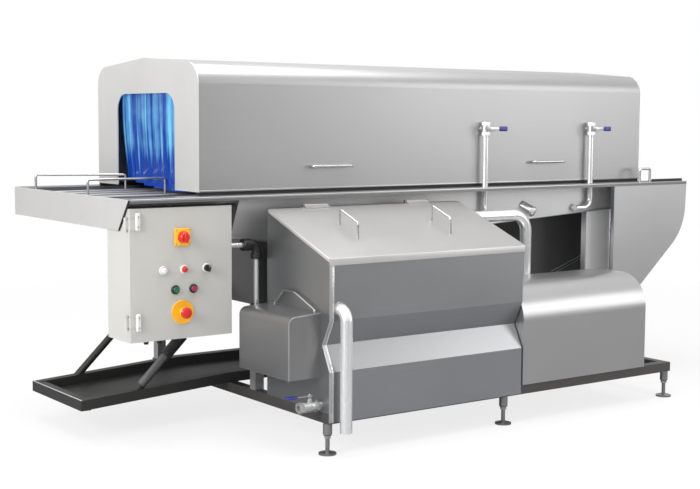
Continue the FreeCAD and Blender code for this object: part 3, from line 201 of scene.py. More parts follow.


# Each part's tone was matched to how bright the part looks where it stands, so these are lit and shaded copies of one
# stainless: the tones are partly the sheets' own and partly painted light and shade.
finishes = {
    "hood": stainless("hood_steel", 0.42),
    # The end plates and portals are the hood's stainless painted lighter: painted light, as on end faces lit from the
    # left.
    "ends": stainless("end_plate_painted_light", 0.76, "z", metal=0.6, warmth=0.01),
    "trough": stainless("trough_steel", 0.62, "x", rough=0.40, metal=0.6),
    # The rims are painted dark: painted shade under and behind their bright lip.
    "rim": stainless("rim_painted_shade", 0.24, "x", rough=0.36),
    "tray": stainless("tray_steel", 0.34, "x", rough=0.5, metal=0.6),
    "tank": stainless("tank_steel", 0.375, "x", rough=0.32, metal=0.93, warmth=-0.02),
    "lid": stainless("lid_steel", 0.40, "x", metal=0.6, warmth=0.02),
    "heater": stainless("heater_steel", 0.34, "z", rough=0.33, metal=0.9),
    "pump": stainless("pump_steel", 0.49, "x", rough=0.34, lines=0.03, metal=0.95),
    "pipe": stainless("pipe_steel", 0.90, "z", rough=0.26, metal=0.75),
    "handle": stainless("handle_steel", 0.56, "x", rough=0.24, metal=0.9),
    "outfeed": stainless("outfeed_steel", 0.50, "z"),
    "leg": stainless("leg_steel", 0.46, "z"),
    # The outfeed posts are painted almost white: painted light on front faces that stand in shade.
    "post": stainless("post_painted_light", 0.95, "z", rough=0.42, metal=0.5),
    "drive": stainless("drive_steel", 0.10, "z", rough=0.5, metal=0.5),
    "sump": stainless("sump_steel", 0.26, "x", rough=0.45, warmth=0.01),
    # The base, and darker still the infeed extension, the struts and the outfeed bar, are painted near black: painted
    # shade and dark reflection on stainless.
    "base": stainless("base_painted_shade", 0.095, "x", rough=0.45, metal=0.6, warmth=0.04),
    "dark": stainless("shaded_steel", 0.042, "x", rough=0.5, metal=0.5, warmth=0.03),
    "foot": stainless("foot_steel", 0.30, "z", rough=0.3),
    "lever": stainless("lever_steel", 0.62, "x", rough=0.3),
    "fitting": stainless("fitting_steel", 0.60, "z", rough=0.28),
    "nut": stainless("nut_steel", 0.42, "z", rough=0.3),
    "screw": stainless("screw_steel", 0.35, "x", rough=0.3),
    # Folded edges, hems and lips are painted lighter than their sheets: painted highlights along the folds.
    "edge": stainless("folded_edge_painted_highlight", 0.78, "x", rough=0.26),
    "edge_soft": stainless("hem_painted_highlight", 0.52, "x", rough=0.32),
    "lip": stainless("lip_painted_highlight", 0.62, "x", rough=0.34, metal=0.6, warmth=0.02),
    "hinge": stainless("hinge_steel", 0.45, "x", rough=0.3),
    "weld": stainless("weld_steel", 0.34, "y", rough=0.42, lines=0.02, clouds=0.3),
    "sleeve": stainless("sleeve_steel", 0.16, "z", rough=0.3),
    # Near-black painted shadow for the gap beside the infeed end plate.
    "shade": stainless("seam_shade", 0.02, "x", rough=0.6, metal=0.2),
}
print("stainless finishes:", len(finishes))

# %% [markdown]
# The other finishes are a powder coat on the cabinet, moulded plastic on its switches, rubber on seals and
# glands, and the blue strips of the curtain.

# %% Paint, plastic and rubber
def moulded(name, colour, rough=0.35, coat=0.0, mottle=0.04):
    finish = Finish(name, Coat_Roughness=0.12)
    speck = finish.noise(finish.place(), 900.0, 2.0)
    cloud = finish.noise(finish.place(), 40.0, 2.0)
    low = tuple(c * (1 - mottle * 2) for c in colour) + (1,)
    high = tuple(min(1.0, c * (1 + mottle * 2)) for c in colour) + (1,)
    finish.set(
        Base_Color=finish.mix(speck * 0.5 + cloud * 0.5, low, high),
        Roughness=(cloud - 0.5) * 0.1 + rough,
        Normal=finish.bump(speck, 0.00008, 0.3),
        Coat_Weight=coat,
    )
    return finish.material


def powder_coat(name, colour):
    finish = Finish(name)
    peel = finish.noise(finish.place(), 420.0, 2.0)
    cloud = finish.noise(finish.place(), 3.0, 3.0)
    low = tuple(c * 0.95 for c in colour) + (1,)
    high = tuple(min(1.0, c * 1.04) for c in colour) + (1,)
    finish.set(
        Base_Color=finish.mix(cloud, low, high),
        Roughness=(cloud - 0.5) * 0.1 + 0.42,
        Normal=finish.bump(peel, 0.0001, 0.4),
    )
    return finish.material


def vinyl_sheet(name, deep, pale):
    """Clear blue sheet with paler upright stripes painted into its colour as highlights where it bows towards the
    light, a deeper blue towards its lower edge, and a faint glow in the same colours as painted light through the
    sheet.
    """
    # The emission is painted light: the sheet's own colours glow faintly.
    finish = Finish(name, Coat_Roughness=0.08, Coat_Weight=1.0, IOR=1.5, Emission_Strength=0.32)
    # Paler upright stripes in the colour are painted highlights.
    highlight_bands = finish.noise(finish.stretched((0, 46, 1.1)), 1.0, 2.0)
    cloud = finish.noise(finish.place(), 9.0, 2.0)
    foot = finish.spread(finish.axis("Z"), 0.93, 1.12, -0.35, 0.0)
    mask = finish.spread(highlight_bands + (cloud - 0.5) * 0.25 + foot, 0.40, 0.66)
    colour = finish.mix(mask, deep + (1,), pale + (1,))
    finish.set(
        Base_Color=colour,
        Emission_Color=colour,
        Roughness=(cloud - 0.5) * 0.12 + 0.18,
        Normal=finish.bump(highlight_bands, 0.0012, 0.4),
    )
    return finish.material


finishes |= {
    "cabinet": powder_coat("cabinet_powder_coat", (0.47, 0.465, 0.44)),
    "bezel": moulded("bezel_plastic", (0.62, 0.62, 0.60), 0.3, 0.3),
    "violet": moulded("halt_cap_plastic", (0.30, 0.03, 0.05), 0.3, 0.3),
    "lens_white": moulded("white_lens", (0.70, 0.74, 0.76), 0.12, 0.8),
    "rubber": moulded("seal_rubber", (0.012, 0.012, 0.013), 0.6),
    "black": moulded("black_plastic", (0.015, 0.015, 0.016), 0.4),
    "red": moulded("red_plastic", (0.60, 0.015, 0.01), 0.3, 0.3),
    "yellow": moulded("yellow_plastic", (0.85, 0.42, 0.01), 0.35, 0.2),
    "green": moulded("green_plastic", (0.01, 0.12, 0.05), 0.3, 0.3),
    "white": moulded("white_plastic", (0.75, 0.78, 0.78), 0.3, 0.3),
    "blue": moulded("blue_vinyl", (0.02, 0.03, 0.22), 0.35, 0.2),
    "curtain": vinyl_sheet("curtain_vinyl", (0.004, 0.055, 0.40), (0.20, 0.60, 0.86)),
    # The strips' cut edges take a paler blue: a painted highlight.
    "curtain_edge": moulded("curtain_edge_painted_highlight", (0.25, 0.55, 0.95), 0.2, 0.6),
}
print("finishes:", len(finishes))

# %% [markdown]
# Each solid from the CAD model keeps its mesh and gets the finish that its sheet or casting has.

# %% Finishes on the solids
FINISH_OF = {
    "hood": "hood_shell",
    "ends": "portal_infeed portal_outfeed infeed_end_plate",
    "rubber": "hood_seat cable_glands",
    "trough": "trough",
    "tray": "infeed_tray conveyor_slats conveyor_rods",
    "rim": "trough_rims",
    "handle": "hood_grips lid_grips guide_rails",
    "outfeed": "outfeed_sides outfeed_chute",
    "tank": "filter_tank",
    "lid": "tank_lid",
    "heater": "heater_housing",
    "pump": "pump_cover",
    "pipe": "overflow_pipe pump_pipe rinse_pipes supply_pipe curtain_rods drain_valve",
    "leg": "sump_legs",
    "post": "outfeed_posts",
    "sump": "sump",
    "base": "base_rails base_crosses",
    "dark": "infeed_extension struts outfeed_bar",
    "drive": "drive_housing",
    "foot": "feet_front feet_back",
    "cabinet": "cabinet_body cabinet_door",
    "yellow": "door_fittings",
    "red": "switch_knob stop_button halt_button",
    "green": "start_button",
    "black": "selector_knob",
    "blue": "rinse_lever_left rinse_lever_right drain_lever",
    "curtain": "curtain_infeed curtain_outfeed",
}
finish_of = {node: name for name, listed in FINISH_OF.items() for node in listed.split()}
unnamed = sorted(set(nodes) - set(finish_of))
for name, solid in nodes.items():
    solid.material_slots[0].material = finishes[finish_of.get(name, "trough")]
print("solids without a finish of their own:", unnamed)

# %% [markdown]
# Every piece below is built in one small workshop. A block is a cube that is scaled and has its edges
# rounded, a prism is an outline that is pushed along an axis, and a turned piece is an outline spun about an
# axis. Several of them go into one mesh, with a finish for each, and the mesh then rides on its CAD body.

# %% Workshop
AXES = {"X": Vector((1, 0, 0)), "Y": Vector((0, 1, 0)), "Z": Vector((0, 0, 1))}


class Shape:
    """A mesh in the making. Each call adds a part to it and remembers the finish of its faces."""

    def __init__(self, *names):
        self.names = names
        self.mesh = bmesh.new()
        self.before = set()

    def begin(self):
        self.before = set(self.mesh.verts)

    def close(self, finish, turn=None):
        verts = [v for v in self.mesh.verts if v not in self.before]
        if turn is not None:
            bmesh.ops.transform(self.mesh, matrix=turn, verts=verts)
        made = {face for v in verts for face in v.link_faces}
        bmesh.ops.recalc_face_normals(self.mesh, faces=list(made))
        for face in made:
            face.material_index = self.names.index(finish)
            face.smooth = True

    def soften(self, edges, bevel, segments):
        if bevel:
            bmesh.ops.bevel(
                self.mesh, geom=list(edges), offset=bevel, offset_type="OFFSET", segments=segments,
                profile=0.5, material=-1, affect="EDGES", clamp_overlap=True,
            )

    def block(self, low, high, finish, bevel=0.001, segments=2, turn=None):
        self.begin()
        low, high = Vector(low), Vector(high)
        made = bmesh.ops.create_cube(self.mesh, size=1.0)["verts"]
        bmesh.ops.scale(self.mesh, vec=high - low, verts=made)
        bmesh.ops.translate(self.mesh, vec=(low + high) / 2, verts=made)
        self.soften({edge for v in made for edge in v.link_edges}, bevel, segments)
        self.close(finish, turn)

    def prism(self, outline, axis, start, depth, finish, bevel=0.001, segments=2, turn=None):
        self.begin()
        order = {"X": lambda u, v: (start, u, v), "Y": lambda u, v: (u, start, v), "Z": lambda u, v: (u, v, start)}
        corners = [self.mesh.verts.new(order[axis](u, v)) for u, v in outline]
        face = self.mesh.faces.new(corners)
        pushed = bmesh.ops.extrude_face_region(self.mesh, geom=[face])["geom"]
        far = [v for v in pushed if isinstance(v, bmesh.types.BMVert)]
        bmesh.ops.translate(self.mesh, vec=AXES[axis] * depth, verts=far)
        self.soften({edge for v in corners + far for edge in v.link_edges}, bevel, segments)
        self.close(finish, turn)

    def lathe(self, outline, place, axis, finish, steps=40, turn=None):
        """Spin (radius, along) points about an axis through a place."""
        self.begin()
        along = AXES[axis]
        out = AXES["Z"] if axis != "Z" else AXES["X"]
        line = [self.mesh.verts.new(Vector(place) + out * radius + along * step) for radius, step in outline]
        edges = [self.mesh.edges.new(pair) for pair in zip(line, line[1:])]
        bmesh.ops.spin(
            self.mesh, geom=line + edges, cent=place, axis=along, dvec=(0, 0, 0), angle=math.tau,
            steps=steps, use_merge=True, use_normal_flip=False, use_duplicate=False,
        )
        spun = [v for v in self.mesh.verts if v not in self.before]
        bmesh.ops.remove_doubles(self.mesh, verts=spun, dist=0.00002)
        self.close(finish, turn)

    def settle(self, name, body, replaces=(), sharp=32):
        mesh = bpy.data.meshes.new(name)
        self.mesh.to_mesh(mesh)
        self.mesh.free()
        mesh.set_sharp_from_angle(angle=math.radians(sharp))
        for finish in self.names:
            mesh.materials.append(finishes[finish])
        piece = bpy.data.objects.new(name, mesh)
        bpy.context.scene.collection.objects.link(piece)
        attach(piece, body)
        if replaces:
            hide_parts(*replaces)
        print(f"{name}: {len(mesh.polygons)} faces")
        return piece


def ringed(inner, outer, low, high, edge=0.0008):
    """Outline of a collar: a ring with its outer corners broken."""
    return [
        (inner, low), (outer - edge, low), (outer, low + edge), (outer, high - edge),
        (outer - edge, high), (inner, high), (inner, low),
    ]


def capped(radius, low, high, edge=0.0008):
    """Outline of a closed round piece with broken corners."""
    return [
        (0, low), (radius - edge, low), (radius, low + edge), (radius, high - edge),
        (radius - edge, high), (0, high),
    ]


# %% [markdown]
# Soft plastic strips hang over a rod at each end of the tunnel. Each strip is folded over the rod, bows a
# little across, and overlaps its neighbour. The strips on the far side have swung further in. A flat grid
# that is bent along its length and then given a thickness makes one strip, and six of them a curtain.

# %% Curtain strips
STRIP_WIDTH = 0.092
STRIP_STEP = 0.082
STRIP_SHEET = 0.003
ROD_HEIGHT = 1.332
ROD_RADIUS = 0.006


def strip_line(rod_x, inward, layer, swing, bottom):
    """Middle line of a strip in X and Z, from behind the rod, over it and down to its lower edge."""
    reach = ROD_RADIUS + STRIP_SHEET / 2 + 0.0008 + (STRIP_SHEET + 0.0006) * layer
    line = []
    for step in range(9):
        angle = math.pi * step / 8
        line.append((rod_x + inward * reach * math.cos(angle), ROD_HEIGHT + reach * math.sin(angle)))
    for step in range(1, 25):
        share = step / 24
        drift = inward * swing * share ** 1.5
        line.append((rod_x - inward * reach + drift, ROD_HEIGHT + (bottom - ROD_HEIGHT) * share))
    return line


def curtain(name, node, rod_x, inward, swings, bottoms):
    shape = Shape("curtain", "curtain_edge")
    columns = 9
    for turn in range(6):
        shape.begin()
        middle = 0.24 + STRIP_STEP * (turn - 2.5)
        line = strip_line(rod_x, inward, turn % 2, swings[turn], bottoms[turn])
        grid = []
        for row, (x, z) in enumerate(line):
            share = max(0.0, (row - 8) / 24)
            verts = []
            for column in range(columns):
                across = column / (columns - 1) * 2 - 1
                bow = 0.0045 * (1 - across * across) * min(1.0, share * 3)
                curl = 0.003 * math.sin(share * 5 + turn * 1.9) * across * share
                verts.append(shape.mesh.verts.new((x - inward * bow + curl, middle + across * STRIP_WIDTH / 2, z)))
            grid.append(verts)
        faces = [
            shape.mesh.faces.new((a[i], a[i + 1], b[i + 1], b[i]))
            for a, b in zip(grid, grid[1:]) for i in range(columns - 1)
        ]
        bmesh.ops.solidify(shape.mesh, geom=faces, thickness=STRIP_SHEET)
        shape.close("curtain")
        # Faces that point along the rod are the strips' cut edges; they take the paler edge finish, a painted
        # highlight.
        for face in shape.mesh.faces:
            if face.material_index == 0 and abs(face.normal.y) > 0.8:
                face.material_index = 1
    return shape.settle(name, "machine", [node], sharp=50)


curtain(
    "infeed_curtain", "curtain_infeed", -1.096, 1,
    [0.010, 0.014, 0.013, 0.019, 0.017, 0.024], [0.934, 0.936, 0.940, 0.946, 0.955, 0.966],
)
curtain(
    "outfeed_curtain", "curtain_outfeed", 1.266, -1,
    [0.012, 0.016, 0.013, 0.018, 0.014, 0.017], [0.938, 0.935, 0.937, 0.934, 0.938, 0.936],
)

# %% [markdown]
# The ball valves have a pressed lever with a nut on the stem and a dipped vinyl grip. The lever is cranked
# away from the valve, so it is an outline seen from its edge, pushed across. The same lever serves the two
# rinse pipes, where it turns in front of the hood, and the drain, where it lies flat on top of the valve.

# %% Valve levers
LEVER_OUT = 0.102
GRIP_START = 0.058


def valve_lever(name, node, body, place, turn):
    where = Matrix.Translation(place) @ turn.to_4x4()
    shape = Shape("lever", "blue", "nut")
    shape.prism(
        [(-0.010, -0.0060), (-0.004, -0.0098), (0.008, -0.0095), (0.018, -0.0066), (LEVER_OUT - 0.006, -0.0062),
         (LEVER_OUT - 0.006, 0.0062), (0.018, 0.0066), (0.008, 0.0095), (-0.004, 0.0098), (-0.010, 0.0060)],
        "Y", -0.0048, 0.0028, "lever", 0.0005, 2, where,
    )
    shape.block((GRIP_START, -0.0085, -0.0108), (LEVER_OUT, 0.0015, 0.0108), "blue", 0.0045, 4, where)
    shape.block((GRIP_START - 0.004, -0.0070, -0.0088), (GRIP_START + 0.004, 0.0000, 0.0088), "blue", 0.003, 3, where)
    shape.lathe(ringed(0.0034, 0.0078, -0.0085, -0.0048), (0, 0, 0), "Y", "nut", 6, where)
    shape.lathe(capped(0.0036, -0.0115, -0.0045, 0.0006), (0, 0, 0), "Y", "nut", 20, where)
    shape.settle(name, body, [node])


UPRIGHT = Matrix.Identity(3)
FLAT = Matrix(((-1, 0, 0), (0, 0, 1), (0, -1, 0)))
RINSE_PIPES = (("left", 0.288), ("right", 0.940))
for side, x in RINSE_PIPES:
    valve_lever(f"lever_{side}", f"rinse_lever_{side}", f"rinse_lever_{side}", (x, -0.243, 1.183), UPRIGHT)
valve_lever("lever_drain", "drain_lever", "drain_lever", (-0.930, -0.652, 0.215), FLAT)

# %% [markdown]
# The valve bodies are brass or steel with a hexagon at each end where a spanner holds them. A hexagon is a
# turned piece with six steps. The one on the drain replaces the plain round body.

# %% Valve bodies
shape = Shape("fitting", "nut")
for _, x in RINSE_PIPES:
    where = (x, -0.220, 1.183)
    shape.lathe(ringed(0.012, 0.0205, -0.0290, -0.0150, 0.001), where, "Z", "fitting", 6)
    shape.lathe(ringed(0.012, 0.0205, 0.0150, 0.0285, 0.001), where, "Z", "fitting", 6)
    shape.lathe(ringed(0.012, 0.0192, -0.0150, 0.0150, 0.004), where, "Z", "fitting", 40)
    shape.lathe(ringed(0.0074, 0.0100, -0.0225, -0.0165, 0.0006), where, "Y", "nut", 6)
shape.settle("rinse_valve_bodies", "machine")

shape = Shape("fitting", "nut")
where = (-0.930, -0.652, 0.178)
for low, high, radius, steps in (
    (-0.048, -0.032, 0.0235, 6), (-0.032, 0.024, 0.0205, 40), (0.024, 0.034, 0.0235, 6), (0.034, 0.048, 0.0165, 40),
):
    shape.lathe(ringed(0.010, radius, low, high, 0.0012), where, "X", "fitting", steps)
shape.lathe(capped(0.0120, -0.036, -0.030), where, "X", "nut", 32)
shape.lathe(ringed(0.0040, 0.0090, 0.018, 0.030, 0.0008), where, "Z", "fitting", 32)
shape.lathe(capped(0.0069, 0.020, 0.0415, 0.0006), where, "Z", "nut", 32)
shape.settle("drain_valve_body", "machine", ["drain_valve"])

# %% [markdown]
# The main switch is a red knob with a tapered grip bar on a yellow square plate. The knob is turned with a
# step, the bar is a prism that narrows to the top, and four screws hold the plate.

# %% Main switch
CONTROLS_X = -1.251
SWITCH_Z = 0.787
DOOR_Y = -0.285
shape = Shape("red", "black")
knob = (CONTROLS_X, -0.293, SWITCH_Z)
shape.lathe(
    [(0, -0.0005), (0.0210, -0.0005), (0.0210, -0.0080), (0.0195, -0.0105), (0.0185, -0.0200), (0.0160, -0.0230), (0, -0.0235)],
    knob, "Y", "red", 48,
)
shape.prism(
    [(-0.0060, -0.0190), (0.0060, -0.0190), (0.0072, 0.0), (0.0050, 0.0200), (-0.0050, 0.0200), (-0.0072, 0.0)],
    "Y", -0.0320, 0.0100, "red", 0.0012, 3, Matrix.Translation(knob),
)
shape.block((-0.0008, -0.0322, 0.0060), (0.0008, -0.0315, 0.0185), "black", 0.0002, 1, Matrix.Translation(knob))
shape.settle("main_switch_knob", "main_switch", ["switch_knob"])

# %% [markdown]
# Everything that is fixed to the door is one piece here: the switch's plate, the bezels of the lamps and the
# buttons, and the round plate and collar of the emergency stop. The bezels are pressed rings with a rolled
# edge, and the lenses bulge a little.

# %% Fittings on the door
ROW_Z = 0.667
ROW_LOW_Z = 0.593
STOP_Z = 0.508
LAMPS = ((-1.330, "lens_white"), (-1.243, "red"))
BUTTONS = (("start_button", -1.281, "green"), ("halt_button", -1.206, "violet"))
shape = Shape("yellow", "bezel", "black", "lens_white", "red", "screw")
shape.block(
    (CONTROLS_X - 0.033, DOOR_Y - 0.008, SWITCH_Z - 0.033), (CONTROLS_X + 0.033, DOOR_Y, SWITCH_Z + 0.033),
    "yellow", 0.0035, 3,
)
shape.lathe(ringed(0.0218, 0.0275, -0.0098, -0.0070, 0.001), (CONTROLS_X, DOOR_Y, SWITCH_Z), "Y", "yellow", 48)
for dx in (-0.027, 0.027):
    for dz in (-0.027, 0.027):
        at = (CONTROLS_X + dx, DOOR_Y - 0.008, SWITCH_Z + dz)
        shape.lathe(capped(0.0026, -0.0012, 0.001, 0.0004), at, "Y", "screw", 20)
for x, lens in LAMPS:
    at = (x, DOOR_Y, ROW_Z)
    shape.lathe(
        [(0.0115, -0.0070), (0.0130, -0.0085), (0.0155, -0.0075), (0.0170, -0.0040), (0.0170, 0), (0.0115, 0), (0.0115, -0.0070)],
        at, "Y", "bezel", 40,
    )
    shape.lathe([(0.0112, -0.0020), (0.0112, -0.0110), (0.0090, -0.0132), (0.0050, -0.0142), (0, -0.0145)], at, "Y", lens, 40)
at = (-1.150, DOOR_Y, ROW_Z)
shape.lathe(ringed(0.0120, 0.0170, -0.0080, 0, 0.002), at, "Y", "bezel", 40)
shape.lathe(capped(0.0125, -0.0076, 0, 0.0005), at, "Y", "black", 40)
for _, x, _ in BUTTONS:
    at = (x, DOOR_Y, ROW_LOW_Z)
    shape.lathe(ringed(0.0112, 0.0170, -0.0080, 0, 0.002), at, "Y", "black", 40)
at = (CONTROLS_X, DOOR_Y, STOP_Z)
shape.lathe(
    [(0.0122, -0.0040), (0.0420, -0.0040), (0.0436, -0.0052), (0.0450, -0.0040), (0.0450, 0), (0.0122, 0), (0.0122, -0.0040)],
    at, "Y", "yellow", 64,
)
shape.lathe(ringed(0.0122, 0.0170, -0.0180, -0.0040, 0.0018), at, "Y", "yellow", 48)
shape.settle("door_controls", "door", ["door_fittings"])

# %% [markdown]
# The parts that move in those bezels: the caps of the two buttons, the selector's knob with its raised bar,
# and the emergency stop's mushroom head with a domed top and a grooved rim.

# %% Buttons, selector and stop
for body, x, finish in BUTTONS:
    shape = Shape(finish)
    shape.lathe(
        [(0, -0.0045), (0.0108, -0.0045), (0.0108, -0.0128), (0.0098, -0.0140), (0.0070, -0.0136), (0, -0.0132)],
        (x, DOOR_Y, ROW_LOW_Z), "Y", finish, 36,
    )
    shape.settle(f"{body}_cap", body, [body])
shape = Shape("black", "white")
at = (-1.150, -0.293, ROW_Z)
shape.lathe([(0, -0.0005), (0.0130, -0.0005), (0.0130, -0.0060), (0.0118, -0.0120), (0, -0.0125)], at, "Y", "black", 40)
shape.prism(
    [(-0.0038, -0.0125), (0.0038, -0.0125), (0.0045, 0), (0.0032, 0.0130), (-0.0032, 0.0130), (-0.0045, 0)],
    "Y", -0.0215, 0.0095, "black", 0.0008, 2, Matrix.Translation(at),
)
shape.block((-0.0007, -0.0217, 0.0040), (0.0007, -0.0212, 0.0118), "white", 0.0002, 1, Matrix.Translation(at))
shape.settle("selector_handle", "selector", ["selector_knob"])

shape = Shape("red")
at = (CONTROLS_X, -0.310, STOP_Z)
head = [(0.0120, 0.0170), (0.0120, 0), (0.0175, 0), (0.0205, -0.0015)]
for turn in range(5):
    head += [(0.0210, -0.0025 - turn * 0.0016), (0.0204, -0.0033 - turn * 0.0016)]
head += [(0.0206, -0.0120), (0.0190, -0.0150), (0.0150, -0.0170), (0.0080, -0.0178), (0, -0.0180)]
shape.lathe(head, at, "Y", "red", 56)
shape.settle("stop_mushroom", "stop_button", ["stop_button"])

# %% [markdown]
# The door hangs on two cast hinge blocks that stand on its left edge, each fixed with two screws.

# %% Door hinges
shape = Shape("bezel", "screw")
for z in (0.850, 0.483):
    shape.block((-1.4430, DOOR_Y - 0.0130, z - 0.033), (-1.4250, DOOR_Y, z + 0.033), "bezel", 0.005, 4)
    for dz in (-0.018, 0.018):
        shape.lathe(capped(0.0034, -0.0142, -0.0120, 0.0006), (-1.434, DOOR_Y, z + dz), "Y", "screw", 6)
shape.settle("door_hinge_blocks", "door")

# %% [markdown]
# The cable glands under the cabinet are turned: a hexagon against the sheet, a ribbed cap under it and a
# soft sleeve where a cable would enter.

# %% Cable glands
shape = Shape("black", "rubber")
for x, radius in ((-1.354, 0.012), (-1.300, 0.012), (-1.229, 0.022)):
    at = (x, -0.1925, 0.409)
    shape.lathe(ringed(radius * 0.6, radius * 1.12, -0.0070, 0.0, 0.0008), at, "Z", "black", 6)
    shape.lathe(ringed(radius * 0.6, radius * 0.92, -0.0090, -0.0065, 0.0005), at, "Z", "black", 32)
    shape.lathe(ringed(radius * 0.6, radius, -0.0190, -0.0088, 0.0018), at, "Z", "black", 12)
    shape.lathe(
        [(0, -0.0185), (radius * 0.80, -0.0185), (radius * 0.66, -0.0260), (radius * 0.52, -0.0262), (0, -0.0262)],
        at, "Z", "rubber", 32,
    )
shape.settle("gland_caps", "machine", ["cable_glands"])

# %% [markdown]
# The conduit from the cabinet to the heater has black screwed sleeves at its bend and at the heater. Turned sleeves
# with a twelve-sided nut on each leg and a bent tube between them make the elbow, and a capped sleeve with a hexagon
# sits at the heater.

# %% Conduit fittings
shape = Shape("black")
shape.lathe(ringed(0.0102, 0.0245, -0.064, -0.030, 0.002), (-0.908, -0.250, 0.740), "X", "black", 12)
shape.lathe(ringed(0.0102, 0.0200, -0.032, -0.016, 0.001), (-0.908, -0.250, 0.740), "X", "black", 32)
shape.lathe(ringed(0.0102, 0.0225, -0.056, -0.034, 0.002), (-0.908, -0.250, 0.740), "Z", "black", 12)
shape.lathe(ringed(0.0102, 0.0190, -0.036, -0.018, 0.001), (-0.908, -0.250, 0.740), "Z", "black", 32)
arc = [Vector((-0.934 + 0.026 * math.sin(a), -0.250, 0.714 + 0.026 * math.cos(a))) for a in
       [math.pi / 2 * step / 10 for step in range(11)]]
shape.begin()
rings = []
for step, middle in enumerate(arc):
    angle = math.pi / 2 * step / 10
    turn = Matrix.Translation(middle) @ Matrix.Rotation(math.pi / 2 + angle, 4, "Y")
    rings.append(bmesh.ops.create_circle(shape.mesh, cap_ends=False, radius=0.0195, segments=28, matrix=turn)["verts"])
for first, second in zip(rings, rings[1:]):
    loops = [edge for verts in (first, second) for edge in {e for v in verts for e in v.link_edges if e.other_vert(v) in verts}]
    bmesh.ops.bridge_loops(shape.mesh, edges=list(set(loops)))
shape.close("black")
shape.lathe(ringed(0.0102, 0.0215, 0.014, 0.040, 0.002), (-0.908, -0.250, 0.470), "Z", "black", 12)
shape.lathe(capped(0.0190, -0.020, 0.018, 0.006), (-0.908, -0.250, 0.470), "Z", "black", 32)
shape.lathe(ringed(0.0150, 0.0185, -0.062, -0.044, 0.0015), (-0.908, -0.250, 0.470), "Y", "black", 6)
shape.settle("conduit_fittings", "machine")

# %% [markdown]
# Sheet edges on such a machine are folded back on themselves, and the fold catches the light. These are the hem along
# the hood's foot, the lip of the rim, the lip along the trough's lower edge, the corner strip of the filter tank with
# its crease, the border of the heater's front, and the edge of the outfeed post. Each one is a thin prism or block that
# follows the sheet it stands for, with a finish lighter than its sheet: a painted highlight along the fold. A thin
# bright edge at the left end of the base and two thin light bars across the drive housing take the same finishes, and a
# near-black strip along the leaning edge of the infeed end plate is painted shadow in the gap beside the cabinet.

# %% Folded edges
shape = Shape("edge", "edge_soft", "shade")
shape.block((-1.1255, -0.1940, 0.9435), (1.2955, -0.1915, 0.9495), "edge_soft", 0.0010, 3)
shape.block((-1.4655, -0.2985, 0.9235), (1.5295, -0.2955, 0.9310), "edge_soft", 0.0014, 3)
TROUGH_FOOT = ((-0.997, 0.7597), (-0.568, 0.7110), (1.106, 0.8040))
for (x0, z0), (x1, z1) in zip(TROUGH_FOOT, TROUGH_FOOT[1:]):
    shape.prism([(x0, z0), (x1, z1), (x1, z1 + 0.008), (x0, z0 + 0.008)], "Y", -0.2035, 0.0037, "edge_soft", 0.0012, 2)
TANK_FRONT = ((0.155, -0.710), (0.307, -0.710), (0.401, -0.663), (0.495, -0.710), (0.698, -0.710))
for low, width, proud, finish in ((-0.8840, 0.0190, 0.0022, "edge_soft"), (-0.8700, 0.0050, 0.0036, "edge")):
    outer = [(y - proud, z) for z, y in TANK_FRONT]
    inner = [(y + 0.0005, z) for z, y in TANK_FRONT]
    shape.prism(outer + inner[::-1], "X", low, width, finish, 0.0009, 2)
    shape.block((low, -0.710 - proud, 0.1205), (low + width, -0.7095, 0.1555), finish, 0.0009, 2)
BEND = [(-0.993 - 0.030 * math.cos(a), 0.4835 + 0.030 * math.sin(a)) for a in [math.pi / 2 * n / 8 for n in range(9)]]
BEND_IN = [(-0.993 - 0.0255 * math.cos(a), 0.4835 + 0.0255 * math.sin(a)) for a in [math.pi / 2 * n / 8 for n in range(9)]]
border = [(-1.023, 0.2815)] + BEND + [(-0.883, 0.5205), (-0.883, 0.5160)] + BEND_IN[::-1] + [(-1.0185, 0.2815)]
shape.prism(border, "Y", -0.6545, 0.0030, "edge_soft", 0.0006, 2)
shape.block((1.1050, -0.1990, 0.1565), (1.1130, -0.1940, 0.8020), "edge", 0.0012, 3)
# Painted shadow: a near-black strip along the infeed end plate's leaning edge, for the shaded gap beside the cabinet.
shape.prism(
    [(-0.2965, 0.9290), (-0.2100, 0.8135), (-0.2030, 0.8135), (-0.2895, 0.9290)],
    "X", -1.4700, 0.0050, "shade", 0.0006, 2,
)
shape.prism([(0.905, 0.4960), (1.100, 0.5610), (1.100, 0.5650), (0.905, 0.5000)], "Y", -0.0160, 0.0065, "edge_soft", 0.0008, 2)
shape.prism([(0.885, 0.4740), (1.100, 0.5460), (1.100, 0.5490), (0.885, 0.4770)], "Y", -0.0150, 0.0055, "edge_soft", 0.0008, 2)
shape.block((-1.5298, 0.0020, 0.1520), (-1.5235, 0.4680, 0.1565), "edge", 0.0012, 3)
shape.settle("folded_edges", "machine")

# The lid's front and side hems take the lip finish, lighter than the lid: painted highlights along the folds.
shape = Shape("lip")
shape.block((-0.8860, -0.7170, 0.6975), (0.0680, -0.7135, 0.7235), "lip", 0.0030, 4)
shape.prism(
    [(-0.7125, 0.7100), (-0.3040, 0.8635), (-0.3040, 0.8765), (-0.7125, 0.7240)],
    "X", -0.8880, 0.0025, "lip", 0.0010, 3,
)
shape.settle("lid_hems", "lid")

# %% [markdown]
# The lid's two hinges have cast eyes with a screw plate in front of each. Only the screws of the plates are built here,
# two on each hinge.

# %% Lid hinge screws
shape = Shape("screw")
LID_SLOPE = 154 / 412
for x in (-0.717, -0.211):
    for dx in (0.018, 0.092):
        at = (x + dx, -0.3090, 0.8780 - 0.0070 * LID_SLOPE + 0.0040)
        shape.lathe(capped(0.0034, -0.0008, 0.0024, 0.0008), at, "Z", "screw", 24)
shape.settle("lid_hinge_screws", "lid")

